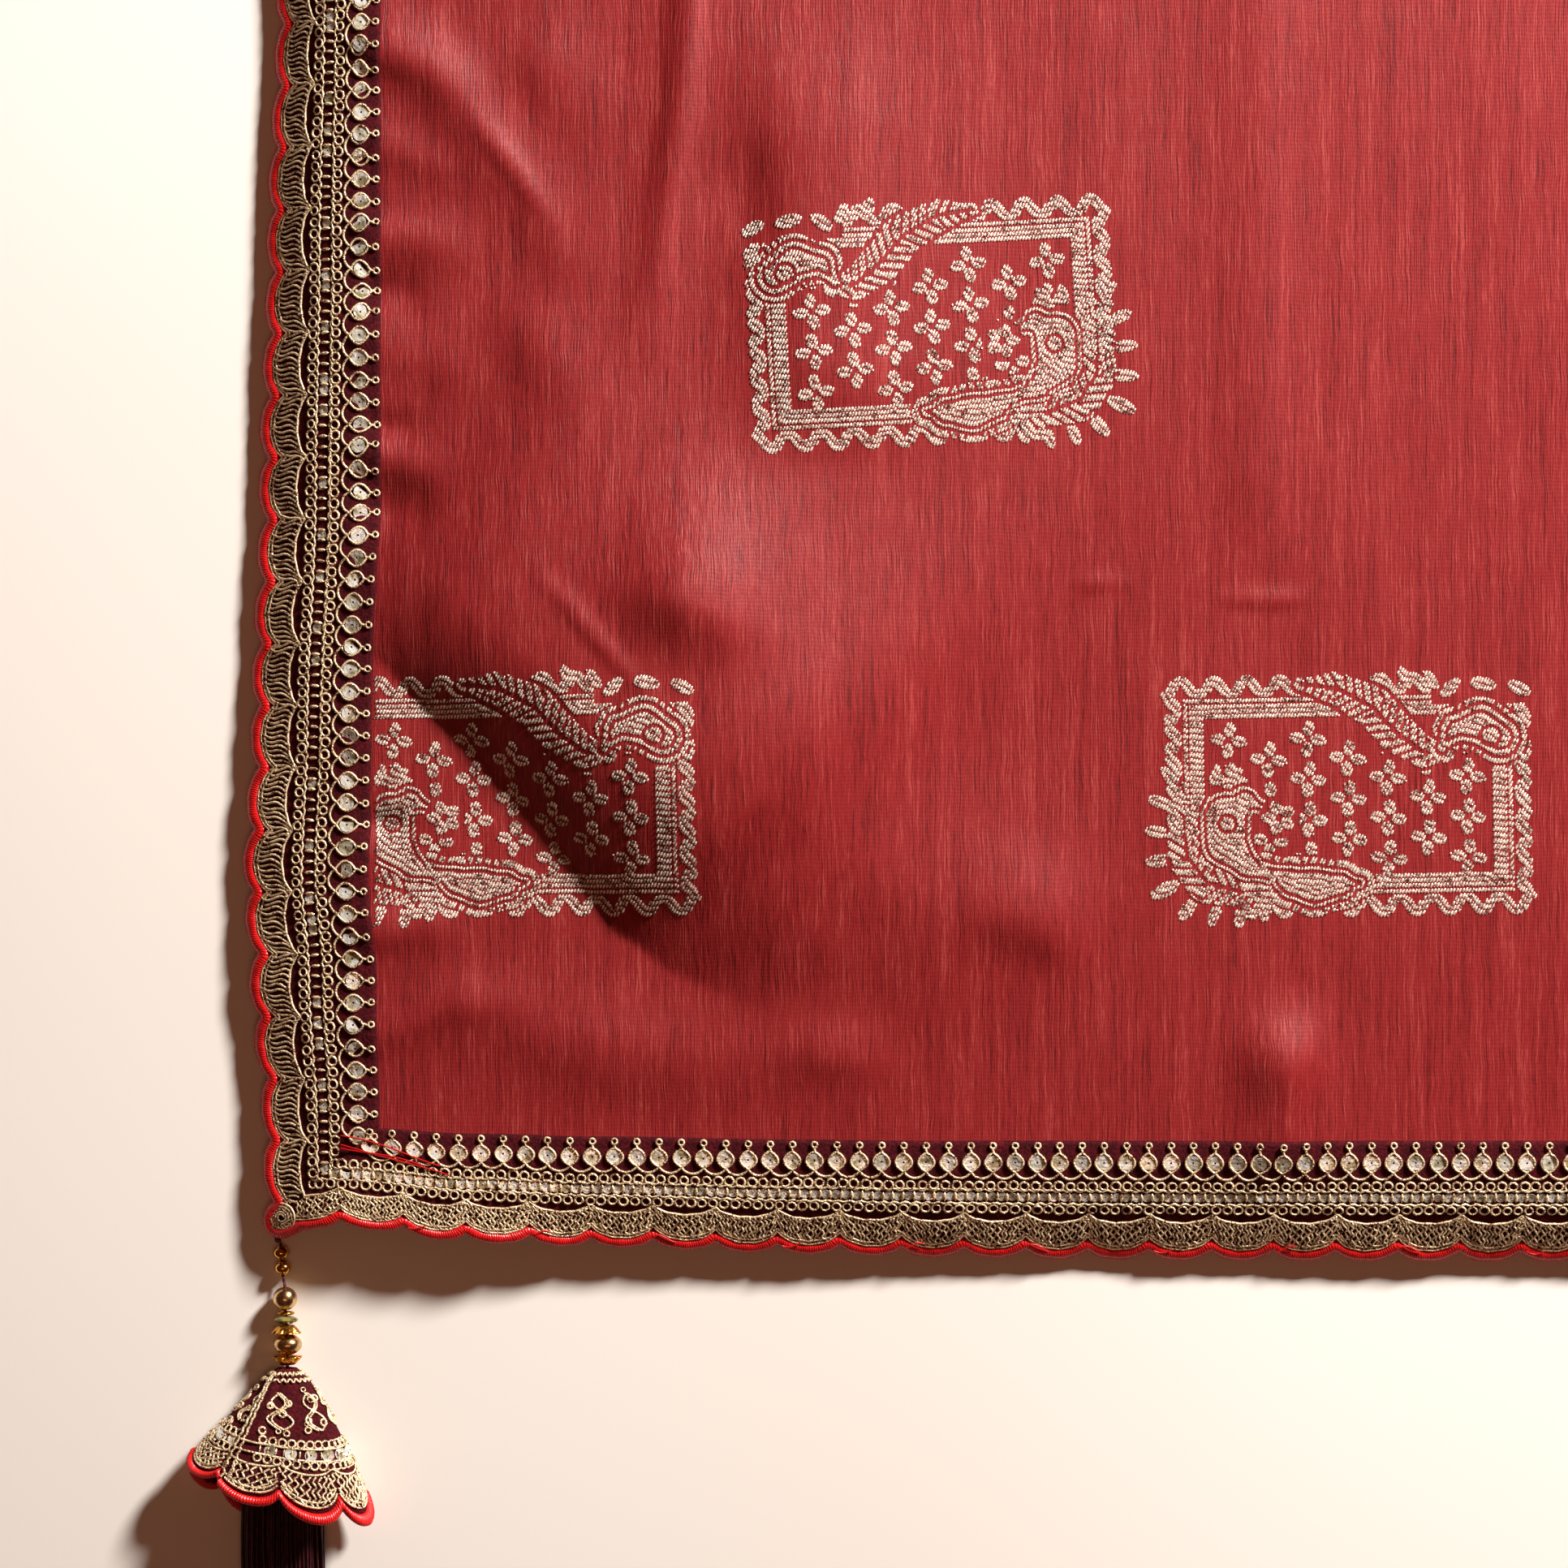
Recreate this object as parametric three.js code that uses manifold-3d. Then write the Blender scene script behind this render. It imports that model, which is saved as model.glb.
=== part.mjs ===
// A folded saree lying on a surface, its pallu corner on top, in millimetres.
// X runs along the pallu end towards the fold, Y runs along the cloth's length,
// Z is up from the flat underside of the folded layers.

import * as THREE from 'three';
import Module from 'manifold-3d';

const wasm = await Module();
wasm.setup();

// ---- Sheet: the top layer of cloth ----
const CLOTH_THICK = 1.2;
const CLEAR = 0.3;
const PACK_TOP = 12;            // height of the folded layers
const REST = 1.6;               // air and soft layers under the top sheet
const FOLD_X = 274;             // where the sheet turns down at the right-hand fold
const FOLD_Y = 299;             // where the sheet turns down at the back fold
const FOLD_RADIUS = 6;
const SEAM_GAP = 0.5;           // between the cloth and the lace sewn along it

// ---- Folded layers under the top sheet ----
const PACK_LEFT = -257;
const PACK_FRONT = -279;
const PACK_CORNER = 14;
const PLY_COUNT = 5;
const PLY_GROOVE = 1.3;

// ---- Lace ----
const LACE_WIDTH = 35;
const LACE_THICK = 1.3;
const ROLL_WIDTH = 3.0;
const ROLL_THICK = 2.2;
const SCALLOP_DEPTH = 5.0;
const SCALLOP_PITCH = 19.2;
const END_PLAIN = 12.4;         // plain edge of the end lace where it rounds the corner
const MITRE_GAP = 0.5;
const MITRE_LEAN = 76;          // length over which the columns turn square

// The side lace: its inner seam, its outer line and the height of its outer line.
const SIDE_LINES = [
  { y: -312, seam: -245.5, edge: -279.0, z: 5.6 },
  { y: -266, seam: -245.5, edge: -281.5, z: 4.6 },
  { y: -219, seam: -246.3, edge: -285.5, z: 3.8 },
  { y: -189, seam: -248.8, edge: -287.5, z: 3.0 },
  { y: -144, seam: -248.0, edge: -285.0, z: 2.8 },
  { y: -69, seam: -245.0, edge: -282.5, z: 1.0 },
  { y: 6, seam: -245.0, edge: -280.0, z: 1.4 },
  { y: 81, seam: -245.0, edge: -277.0, z: 1.0 },
  { y: 190, seam: -245.0, edge: -278.5, z: 1.2 },
  { y: 320, seam: -245.0, edge: -279.0, z: 8.0 },
];

// The end lace, in the same way.
const END_LINES = [
  { x: -290, seam: -265.5, edge: -299.0, z: 8.0 },
  { x: -257, seam: -265.8, edge: -296.5, z: 11.6 },
  { x: -215, seam: -267.9, edge: -301.1, z: 10.8 },
  { x: -178, seam: -268.7, edge: -302.4, z: 5.6 },
  { x: -112, seam: -269.7, edge: -304.5, z: 4.0 },
  { x: -78, seam: -270.0, edge: -305.4, z: 2.6 },
  { x: -28, seam: -270.0, edge: -306.2, z: 1.0 },
  { x: 10, seam: -270.0, edge: -306.6, z: 1.2 },
  { x: 80, seam: -270.0, edge: -306.8, z: 1.6 },
  { x: 290, seam: -270.0, edge: -307.0, z: 8.4 },
];

// The main ridge: its crest, the height there, and how far from it the steep side, rounded
// over like a shoulder, meets the flat cloth in a crease. Its back falls away slowly.
const RIDGE_BACK = 95;
const RIDGE_ROUND = 1.65;
const RIDGE = [
  { x: -246, y: -86, h: 0, foot: 22 }, { x: -234, y: -93, h: 4, foot: 24 },
  { x: -222, y: -101, h: 8, foot: 27 }, { x: -208, y: -113, h: 12.5, foot: 35 },
  { x: -190, y: -128, h: 17, foot: 45 }, { x: -170, y: -144, h: 19.5, foot: 51 },
  { x: -153, y: -159, h: 20, foot: 55 }, { x: -140, y: -174, h: 17, foot: 55 },
  { x: -128, y: -187, h: 9, foot: 50 }, { x: -112, y: -200, h: 2, foot: 40 },
  { x: -98, y: -210, h: 0, foot: 34 },
];

// Folds: a crest from one point to the next, its height at each point and its
// spread on the left (a) and on the right (b) of the way it runs.
const FOLDS = [
  {
    name: 'centre swell', a: 34, b: 26,
    path: [
      { x: -152, y: -104, h: 0 }, { x: -118, y: -158, h: 2.6 },
      { x: -72, y: -196, h: 3.2 }, { x: -20, y: -214, h: 0 },
    ],
  },
  {
    name: 'upper swell', a: 24, b: 14,
    path: [{ x: -182, y: -92, h: 0 }, { x: -150, y: -104, h: 4.4 }, { x: -112, y: -118, h: 0 }],
  },
  {
    name: 'left lengthwise fold', a: 10, b: 6,
    path: [
      { x: -150, y: 110, h: 1 }, { x: -154, y: 40, h: 1.5 },
      { x: -160, y: 0, h: 1.1 }, { x: -168, y: -40, h: 0 },
    ],
  },
  {
    name: 'seam fold', a: 12, b: 9,
    path: [
      { x: -243, y: 70, h: 1.2 }, { x: -222, y: 48, h: 2.6 },
      { x: -196, y: 14, h: 1.4 }, { x: -178, y: -20, h: 0 },
    ],
  },
  {
    name: 'right lengthwise fold', a: 9, b: 13,
    path: [
      { x: 24, y: 230, h: 0 }, { x: 26, y: 90, h: 1.3 },
      { x: 25, y: -60, h: 1.3 }, { x: 22, y: -110, h: 0 },
    ],
  },
  {
    name: 'front right fold', a: 9, b: 14,
    path: [{ x: 40, y: -222, h: 0 }, { x: 34, y: -248, h: 3.4 }, { x: 30, y: -268, h: 2.4 }],
  },
  {
    name: 'front swell', a: 14, b: 14,
    path: [{ x: -214, y: -232, h: 1.4 }, { x: -178, y: -242, h: 2.4 }, { x: -100, y: -248, h: 0.6 }],
  },
  {
    name: 'far swell', a: 60, b: 60,
    path: [{ x: 130, y: 210, h: 1.5 }, { x: 170, y: 20, h: 2.6 }, { x: 150, y: -190, h: 1.2 }],
  },
];

// ---- Latkan: the hanging at the corner, lying on the surface ----
const CORD_RADIUS = 0.5;
const BORE_RADIUS = 1.15;
const KNOT = { x: -278.0, y: -300.9, z: 4.6, radius: 2.3 };

// Turned pieces from the knot to the skirt: radius and length along the cord.
const BEADS = [
  { name: 'small_bead_1', shape: 'ball', x: -277.1, y: -305.8, radius: 2.5, length: 4.3 },
  { name: 'small_bead_2', shape: 'ball', x: -276.6, y: -310.5, radius: 2.6, length: 4.3 },
  { name: 'large_bead_1', shape: 'ball', x: -275.8, y: -319.9, radius: 3.75, length: 7.4 },
  { name: 'spacer_ring', shape: 'ring', x: -275.6, y: -324.5, radius: 2.7, length: 0.9 },
  { name: 'rondelle', shape: 'disc', x: -275.4, y: -326.4, radius: 3.9, length: 2.2 },
  { name: 'bead_cap_1', shape: 'cap', x: -275.2, y: -329.1, radius: 5.1, length: 2.4 },
  { name: 'large_bead_2', shape: 'ball', x: -274.9, y: -334.0, radius: 4.4, length: 6.6 },
  { name: 'bead_cap_2', shape: 'capback', x: -274.9, y: -338.9, radius: 5.1, length: 2.4 },
];
const CAP_PETALS = 7;

// The lace skirt: stations from the neck to the mouth.
const SKIRT = [
  { t: 0.00, x: -275.0, y: -341.2, z: 5.3, wide: 3.0, high: 2.6 },
  { t: 0.12, x: -275.2, y: -344.4, z: 5.5, wide: 7.0, high: 4.4 },
  { t: 0.35, x: -275.6, y: -351.8, z: 6.9, wide: 13.6, high: 6.6 },
  { t: 0.60, x: -276.0, y: -360.0, z: 8.5, wide: 20.2, high: 8.2 },
  { t: 0.82, x: -276.3, y: -367.4, z: 9.5, wide: 25.4, high: 9.2 },
  { t: 1.00, x: -276.5, y: -374.0, z: 10.1, wide: 29.2, high: 9.8 },
];
const SKIRT_WALL = 1.0;
const SKIRT_LEAN = 0.26;        // the mouth runs lower on its right
const SKIRT_SCALLOPS = 8;
const SKIRT_SCALLOP_DEPTH = 4.4;

// The threads: a head bound in the skirt and strands that run out of its mouth.
const STRAND_SIZE = 1.15;
const STRAND_PITCH = 1.75;
const HEAD = { start: -345.6, end: -352.6, wide: 10.2, high: 4.6 };
const STRAND_END_Y = -468;
const STRAND_SPREAD = 1.3;

// ---- Helpers ----
const clamp01 = (v) => Math.min(1, Math.max(0, v));
const mix = (a, b, t) => a + (b - a) * t;
const smooth = (t) => t * t * (3 - 2 * t);

// A column of a table at a place along it, eased between its rows.
function column(rows, along, at, key) {
  let i = 0;
  while (i < rows.length - 2 && rows[i + 1][along] < at) {
    i += 1;
  }
  const t = clamp01((at - rows[i][along]) / (rows[i + 1][along] - rows[i][along]));
  return mix(rows[i][key], rows[i + 1][key], smooth(t));
}

// The height that one fold adds at a point.
function ridgeHeight(x, y) {
  let best = { d2: Infinity };
  for (let i = 0; i < RIDGE.length - 1; i += 1) {
    const p = RIDGE[i];
    const q = RIDGE[i + 1];
    const dx = q.x - p.x;
    const dy = q.y - p.y;
    const t = clamp01(((x - p.x) * dx + (y - p.y) * dy) / (dx * dx + dy * dy));
    const ex = x - p.x - dx * t;
    const ey = y - p.y - dy * t;
    const d2 = ex * ex + ey * ey;
    if (d2 < best.d2) {
      best = { d2, side: dx * ey - dy * ex, h: mix(p.h, q.h, t), foot: mix(p.foot, q.foot, t) };
    }
  }
  if (best.side > 0) return best.h * Math.exp(-best.d2 / RIDGE_BACK ** 2);
  return best.h * Math.max(0, 1 - (Math.sqrt(best.d2) / best.foot) ** RIDGE_ROUND);
}

function foldHeight(fold, x, y) {
  let best = { d2: Infinity };
  for (let i = 0; i < fold.path.length - 1; i += 1) {
    const p = fold.path[i];
    const q = fold.path[i + 1];
    const dx = q.x - p.x;
    const dy = q.y - p.y;
    const t = clamp01(((x - p.x) * dx + (y - p.y) * dy) / (dx * dx + dy * dy));
    const ex = x - p.x - dx * t;
    const ey = y - p.y - dy * t;
    const d2 = ex * ex + ey * ey;
    if (d2 < best.d2) {
      best = { d2, side: dx * ey - dy * ex, h: mix(p.h, q.h, smooth(t)) };
    }
  }
  const spread = best.side > 0 ? fold.a : fold.b;
  return best.h * Math.exp(-best.d2 / (spread * spread));
}

// The height of the top sheet's underside over a point of the plan.
function sheetHeight(x, y) {
  const side = (PACK_LEFT + 6 - x) / (PACK_LEFT + 6 - column(SIDE_LINES, 'y', y, 'edge'));
  const front = (PACK_FRONT + 6 - y) / (PACK_FRONT + 6 - column(END_LINES, 'x', x, 'edge'));
  const level = PACK_TOP + REST;
  const sideDrop = (level - column(SIDE_LINES, 'y', y, 'z')) * Math.max(0, side) ** 1.7;
  const frontDrop = (level - column(END_LINES, 'x', x, 'z')) * Math.max(0, front) ** 1.7;
  const folds = FOLDS.reduce((sum, fold) => sum + foldHeight(fold, x, y), ridgeHeight(x, y));
  const held = smooth(clamp01(1 - Math.max(side, front, 0) * 0.75));
  const easeX = smooth(clamp01((FOLD_X - x) / 60));
  const easeY = smooth(clamp01((FOLD_Y - y) / 60));
  return level + folds * held * easeX * easeY - Math.hypot(sideDrop, frontDrop);
}

// A point of the sheet at a height over its underside, turned down past its folds.
function onSheet(u, v, above) {
  const turnX = clamp01((u - FOLD_X) / (FOLD_RADIUS * Math.PI / 2)) * Math.PI / 2;
  const turnY = clamp01((v - FOLD_Y) / (FOLD_RADIUS * Math.PI / 2)) * Math.PI / 2;
  const x = Math.min(u, FOLD_X);
  const y = Math.min(v, FOLD_Y);
  const r = FOLD_RADIUS + above;
  return new THREE.Vector3(
    x + r * Math.sin(turnX),
    y + r * Math.sin(turnY),
    sheetHeight(x, y) - FOLD_RADIUS + r * Math.cos(turnX) * Math.cos(turnY),
  );
}

// Places along a line: a step for each stretch, and three more round a fold.
function stations(from, stretches, fold) {
  const list = [from];
  for (const { to, step } of stretches) {
    const start = list[list.length - 1];
    const count = Math.max(1, Math.round((to - start) / step));
    for (let i = 1; i <= count; i += 1) {
      list.push(mix(start, to, i / count));
    }
  }
  for (let i = 1; i <= 3; i += 1) {
    list.push(fold + FOLD_RADIUS * Math.PI / 2 * i / 3);
  }
  return list;
}

// A named mesh from rows of points and faces.
function toMesh(name, points, faces, color, roughness, metalness = 0) {
  const geometry = new THREE.BufferGeometry();
  geometry.setAttribute('position', new THREE.Float32BufferAttribute(points.flat(), 3));
  geometry.setIndex(faces.flat());
  geometry.computeVertexNormals();
  const material = new THREE.MeshStandardMaterial({ color, roughness, metalness });
  const mesh = new THREE.Mesh(geometry, material);
  mesh.name = name;
  return mesh;
}

// A closed body from loops of points, one for each column, joined from first to last.
// Each loop runs round the section; the first and last are filled, or joined if it closes.
function loft(loops, closed = false) {
  const points = loops.flat();
  const faces = [];
  const n = loops[0].length;
  const last = closed ? loops.length : loops.length - 1;
  for (let j = 0; j < last; j += 1) {
    const a = j * n;
    const b = ((j + 1) % loops.length) * n;
    for (let i = 0; i < n; i += 1) {
      const k = (i + 1) % n;
      faces.push([a + i, b + i, b + k], [a + i, b + k, a + k]);
    }
  }
  if (!closed) {
    const capFaces = (start, flip) => {
      for (let i = 0; i < n / 2 - 1; i += 1) {
        const p = start + i;
        const q = start + i + 1;
        const r = start + n - 1 - i;
        const s = start + n - 2 - i;
        const pair = i + 1 === n - 2 - i ? [[p, q, r]] : [[p, q, s], [p, s, r]];
        faces.push(...pair.map((f) => (flip ? [f[0], f[2], f[1]] : f)));
      }
    };
    capFaces(0, false);
    capFaces((loops.length - 1) * n, true);
  }
  return { points, faces };
}

// A strip of sheet: a loop for each station, out along its upper side and back below.
function strip(name, columns, rows, at, color, roughness) {
  const loops = columns.map((c) => {
    const upper = rows.map((row) => at(c, row, row.top).toArray());
    const lower = rows.map((row) => at(c, row, row.bottom).toArray());
    return [...upper, ...lower.reverse()];
  });
  const { points, faces } = loft(loops);
  return toMesh(name, points, faces, color, roughness);
}

// ---- Top sheet ----
function palluCloth() {
  const left = (y) => column(SIDE_LINES, 'y', y, 'seam') + SEAM_GAP / 2;
  const front = (x) => column(END_LINES, 'x', x, 'seam') + SEAM_GAP / 2;
  const xs = stations(-245, [
    { to: -126, step: 9 }, { to: 66, step: 21 }, { to: FOLD_X, step: 42 },
  ], FOLD_X);
  const ys = stations(-268, [
    { to: -86, step: 9.5 }, { to: 90, step: 22 }, { to: FOLD_Y, step: 42 },
  ], FOLD_Y);
  const pulled = (list, value, edge, reach) => {
    const start = list[0];
    const t = clamp01((reach - value) / (reach - start));
    return value + (edge - start) * t;
  };
  const rows = xs.map((x) => ({ x, top: CLOTH_THICK, bottom: 0 }));
  return strip('pallu_cloth', [...ys].reverse(), rows, (y, row, above) => {
    const v = pulled(ys, y, front(row.x), -180);
    const u = pulled(xs, row.x, left(v), -190);
    return onSheet(u, v, above);
  }, 0xaa3034, 0.7);
}

// ---- Folded layers ----
function foldedLayers() {
  const right = FOLD_X + FOLD_RADIUS - 0.4;
  const back = FOLD_Y + FOLD_RADIUS - 0.4;
  const outline = (inset, z) => {
    const list = [];
    const box = {
      l: PACK_LEFT + inset, r: right - inset, f: PACK_FRONT + inset, b: back - inset,
    };
    const sag = (s, k) => 0.7 * Math.sin(Math.PI * s) * Math.sin(k + z * 0.9);
    const corners = [
      { x: box.r - PACK_CORNER, y: box.b - PACK_CORNER, a: 0 },
      { x: box.l + PACK_CORNER, y: box.b - PACK_CORNER, a: 90 },
      { x: box.l + PACK_CORNER, y: box.f + PACK_CORNER, a: 180 },
      { x: box.r - PACK_CORNER, y: box.f + PACK_CORNER, a: 270 },
    ];
    corners.forEach((c, k) => {
      for (let i = 0; i <= 4; i += 1) {
        const a = THREE.MathUtils.degToRad(c.a + 22.5 * i);
        list.push([c.x + PACK_CORNER * Math.cos(a), c.y + PACK_CORNER * Math.sin(a), z]);
      }
      const next = corners[(k + 1) % 4];
      const a = THREE.MathUtils.degToRad(c.a + 90);
      const nx = Math.cos(a);
      const ny = Math.sin(a);
      for (let i = 1; i <= 4; i += 1) {
        const s = i / 5;
        const dip = PACK_CORNER - Math.abs(sag(s, k * 1.7));
        list.push([mix(c.x, next.x, s) + nx * dip, mix(c.y, next.y, s) + ny * dip, z]);
      }
    });
    return list;
  };
  const ply = PACK_TOP / PLY_COUNT;
  const loops = [];
  for (let k = 0; k < PLY_COUNT; k += 1) {
    const shift = 0.5 + 0.5 * Math.sin(k * 2.1);
    const z = k * ply;
    const over = Math.max(0, z + ply - (PACK_TOP + REST - FOLD_RADIUS));
    const arc = FOLD_RADIUS - Math.sqrt(Math.max(0, FOLD_RADIUS ** 2 - over ** 2));
    loops.push(outline(PLY_GROOVE + shift + arc, z));
    loops.push(outline(shift + arc, z + ply * 0.3));
    loops.push(outline(shift + arc, z + ply * 0.72));
  }
  loops.push(outline(PLY_GROOVE * 2 + FOLD_RADIUS * 0.7, PACK_TOP));
  const { points, faces } = loft(loops.reverse());
  return toMesh('folded_layers', points, faces, 0x96282c, 0.75);
}

// ---- Lace ----
const scallop = (along) => SCALLOP_DEPTH * (1 - Math.abs(Math.cos(Math.PI * along / SCALLOP_PITCH)));

// How far across the lace a row lies, from 0 at the seam to 1 at the crown of a scallop.
function across(along, row, plain) {
  return row.s * (1 - (row.inset + scallop(Math.max(0, along - plain))) / LACE_WIDTH);
}

const LACE_BASE = CLEAR;
const LACE_ROWS = [
  { s: 0, inset: 0, top: LACE_BASE + LACE_THICK, bottom: LACE_BASE },
  { s: 0.5, inset: 0, top: LACE_BASE + LACE_THICK, bottom: LACE_BASE },
  { s: 1, inset: ROLL_WIDTH, top: LACE_BASE + LACE_THICK, bottom: LACE_BASE },
  { s: 1, inset: ROLL_WIDTH / 2, top: LACE_BASE + ROLL_THICK, bottom: LACE_BASE - 0.2 },
  { s: 1, inset: 0, top: LACE_BASE + LACE_THICK, bottom: LACE_BASE + 0.3 },
];

const CORNER = {
  inner: new THREE.Vector2(-245.5, -265.8),
  outer: new THREE.Vector2(-279.4, -299.2),
};

// The lace is cut to the mitre: its first columns lean until they run square to its edge.
function pastMitre(along, share, inner, outer) {
  const mitre = mix(inner, outer, share) + MITRE_GAP;
  return along < MITRE_LEAN
    ? mix(mitre, outer + MITRE_GAP + MITRE_LEAN, along / MITRE_LEAN)
    : outer + MITRE_GAP + along;
}

// Four columns for each scallop, from the mitre to the end of the turn at a fold. The
// scallops start past the plain edge.
function laceColumns(outer, fold, plain) {
  const length = fold + FOLD_RADIUS * Math.PI / 2 - outer - MITRE_GAP;
  const evenly = (from, to) => {
    const count = Math.round((to - from) / (SCALLOP_PITCH / 4));
    return Array.from({ length: count }, (_, i) => from + (to - from) * i / count);
  };
  return [...evenly(0, plain), ...evenly(plain, length), length];
}

function sideLace() {
  const columns = laceColumns(CORNER.outer.y, FOLD_Y, 0);
  return strip('side_lace', columns, LACE_ROWS, (along, row, above) => {
    const share = across(along, row, 0);
    const at = pastMitre(along, share, CORNER.inner.y, CORNER.outer.y);
    const seam = column(SIDE_LINES, 'y', at, 'seam') - SEAM_GAP / 2;
    return onSheet(mix(seam, column(SIDE_LINES, 'y', at, 'edge'), share), at, above);
  }, 0x55161e, 0.8);
}

function endLace() {
  const columns = laceColumns(CORNER.outer.x, FOLD_X, END_PLAIN);
  return strip('end_lace', columns.reverse(), LACE_ROWS, (along, row, above) => {
    const share = across(along, row, END_PLAIN);
    const at = pastMitre(along, share, CORNER.inner.x, CORNER.outer.x);
    const seam = column(END_LINES, 'x', at, 'seam') - SEAM_GAP / 2;
    return onSheet(at, mix(seam, column(END_LINES, 'x', at, 'edge'), share), above);
  }, 0x55161e, 0.8);
}

// ---- Latkan ----
// Profiles across the cord: [along, radius] from one end of the bore to the other.
const PROFILES = {
  ball: (r, l) => [0, 25, 50, 75, 90, 105, 130, 155, 180].map((a) => {
    const angle = THREE.MathUtils.degToRad(a);
    const edge = BORE_RADIUS + 0.2;
    return [-Math.cos(angle) * l / 2, Math.max(edge, Math.sin(angle) * r)];
  }),
  ring: (r, l) => [
    [-l / 2, BORE_RADIUS + 0.3], [-l / 2, r - 0.3], [0, r], [l / 2, r - 0.3], [l / 2, BORE_RADIUS + 0.3],
  ],
  disc: (r, l) => [
    [-l / 2, BORE_RADIUS + 0.6], [-l / 2 * 0.8, r * 0.72], [-l / 2 * 0.2, r],
    [l / 2 * 0.2, r], [l / 2 * 0.8, r * 0.72], [l / 2, BORE_RADIUS + 0.6],
  ],
};

function turned(bead) {
  const { name, shape, x, y, radius, length } = bead;
  const cap = shape.startsWith('cap');
  const centre = new THREE.Vector3(x, y, cap ? radius + 0.3 : radius + 0.25);
  const sides = cap ? CAP_PETALS * 4 : 14;
  const loops = [];
  for (let i = 0; i < sides; i += 1) {
    const a = 2 * Math.PI * i / sides;
    let profile;
    if (cap) {
      const petal = 0.74 + 0.26 * Math.abs(Math.sin(a * CAP_PETALS / 2));
      const way = shape === 'cap' ? 1 : -1;
      profile = [
        [-length / 2, BORE_RADIUS], [-length / 2, 2.4], [0, radius * 0.72 * petal + 0.5],
        [length / 2, radius * petal], [length / 2 - 0.2, radius * petal - 0.9],
        [0.6, radius * 0.5], [-length / 2 + 0.9, BORE_RADIUS],
      ].map(([s, r]) => [s * way, r]);
    } else {
      const outer = PROFILES[shape](radius, length);
      const ends = [outer[outer.length - 1][0], outer[0][0]];
      profile = [...outer, [ends[0], BORE_RADIUS], [ends[1], BORE_RADIUS]];
    }
    loops.push(profile.map(([s, r]) => [
      centre.x + r * Math.cos(a), centre.y - s, centre.z + r * Math.sin(a),
    ]));
  }
  const { points, faces } = loft(loops, true);
  const turnedFaces = shape === 'capback' ? faces.map(([p, q, r]) => [p, r, q]) : faces;
  const glass = shape === 'disc';
  return toMesh(name, points, turnedFaces, glass ? 0x8f8448 : 0xc9a25a, glass ? 0.15 : 0.3, glass ? 0 : 1);
}

// A round or four-sided rod along a row of points.
function rod(path, radius, sides) {
  const loops = path.map((p, i) => {
    const before = path[Math.max(0, i - 1)];
    const after = path[Math.min(path.length - 1, i + 1)];
    const way = new THREE.Vector3().subVectors(after, before).normalize();
    const side = new THREE.Vector3(0, 0, 1).cross(way).normalize();
    const up = new THREE.Vector3().crossVectors(way, side);
    const r = Array.isArray(radius) ? radius[i] : radius;
    return Array.from({ length: sides }, (_, k) => {
      const a = 2 * Math.PI * (k + 0.5) / sides;
      return p.clone()
        .addScaledVector(side, r * Math.cos(a))
        .addScaledVector(up, r * Math.sin(a))
        .toArray();
    });
  });
  return loft(loops.reverse());
}

function solid({ points, faces }) {
  return new wasm.Manifold(new wasm.Mesh({
    numProp: 3,
    vertProperties: new Float32Array(points.flat()),
    triVerts: new Uint32Array(faces.flat()),
  }));
}

function fromSolid(name, body, color, roughness) {
  const mesh = body.getMesh();
  const points = [];
  for (let i = 0; i < mesh.vertProperties.length; i += mesh.numProp) {
    points.push(Array.from(mesh.vertProperties.slice(i, i + 3)));
  }
  return toMesh(name, points, [Array.from(mesh.triVerts)], color, roughness);
}

function tasselCord() {
  const path = [new THREE.Vector3(KNOT.x, KNOT.y, KNOT.z - 0.6)];
  for (const bead of BEADS) {
    const z = bead.radius + 0.27;
    path.push(new THREE.Vector3(bead.x, bead.y + bead.length / 2, z));
    path.push(new THREE.Vector3(bead.x, bead.y - bead.length / 2, z));
  }
  path.push(new THREE.Vector3(-275.1, -344.8, 4.6));
  const cord = solid(rod(path, CORD_RADIUS, 6));
  const knot = [-1, -0.7, 0, 0.7, 1].map((s) => (
    new THREE.Vector3(KNOT.x - s * KNOT.radius, KNOT.y + s * 0.6, KNOT.z)
  ));
  const widths = [0.7, 1.7, KNOT.radius, 1.7, 0.7];
  return fromSolid('tassel_cord', cord.add(solid(rod(knot, widths, 8))), 0x7c1a20, 0.8);
}

// A point of the skirt: t from neck to mouth, angle round it, gap in from its outside.
function skirtPoint(t, angle, inward) {
  let i = 0;
  while (i < SKIRT.length - 2 && SKIRT[i + 1].t < t) {
    i += 1;
  }
  const f = (t - SKIRT[i].t) / (SKIRT[i + 1].t - SKIRT[i].t);
  const at = (key) => mix(SKIRT[i][key], SKIRT[i + 1][key], f);
  const wide = at('wide') - inward;
  const high = at('high') - inward;
  const out = Math.cos(angle) * wide;
  const drop = t ** 2 * (SKIRT_LEAN * out
    + SKIRT_SCALLOP_DEPTH * (Math.abs(Math.sin(angle * SKIRT_SCALLOPS / 2)) - 0.5));
  return [at('x') + out, at('y') - drop, at('z') + Math.sin(angle) * high];
}

function tasselCone() {
  const sides = SKIRT_SCALLOPS * 4;
  const loops = [];
  for (let i = 0; i < sides; i += 1) {
    const angle = 2 * Math.PI * i / sides;
    const outer = SKIRT.map(({ t }) => skirtPoint(t, angle, 0));
    const inner = SKIRT.map(({ t }) => skirtPoint(t, angle, SKIRT_WALL));
    loops.push([...outer, ...inner.reverse()]);
  }
  const { points, faces } = loft(loops, true);
  return toMesh('tassel_cone', points, faces, 0x55161e, 0.8);
}

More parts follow.
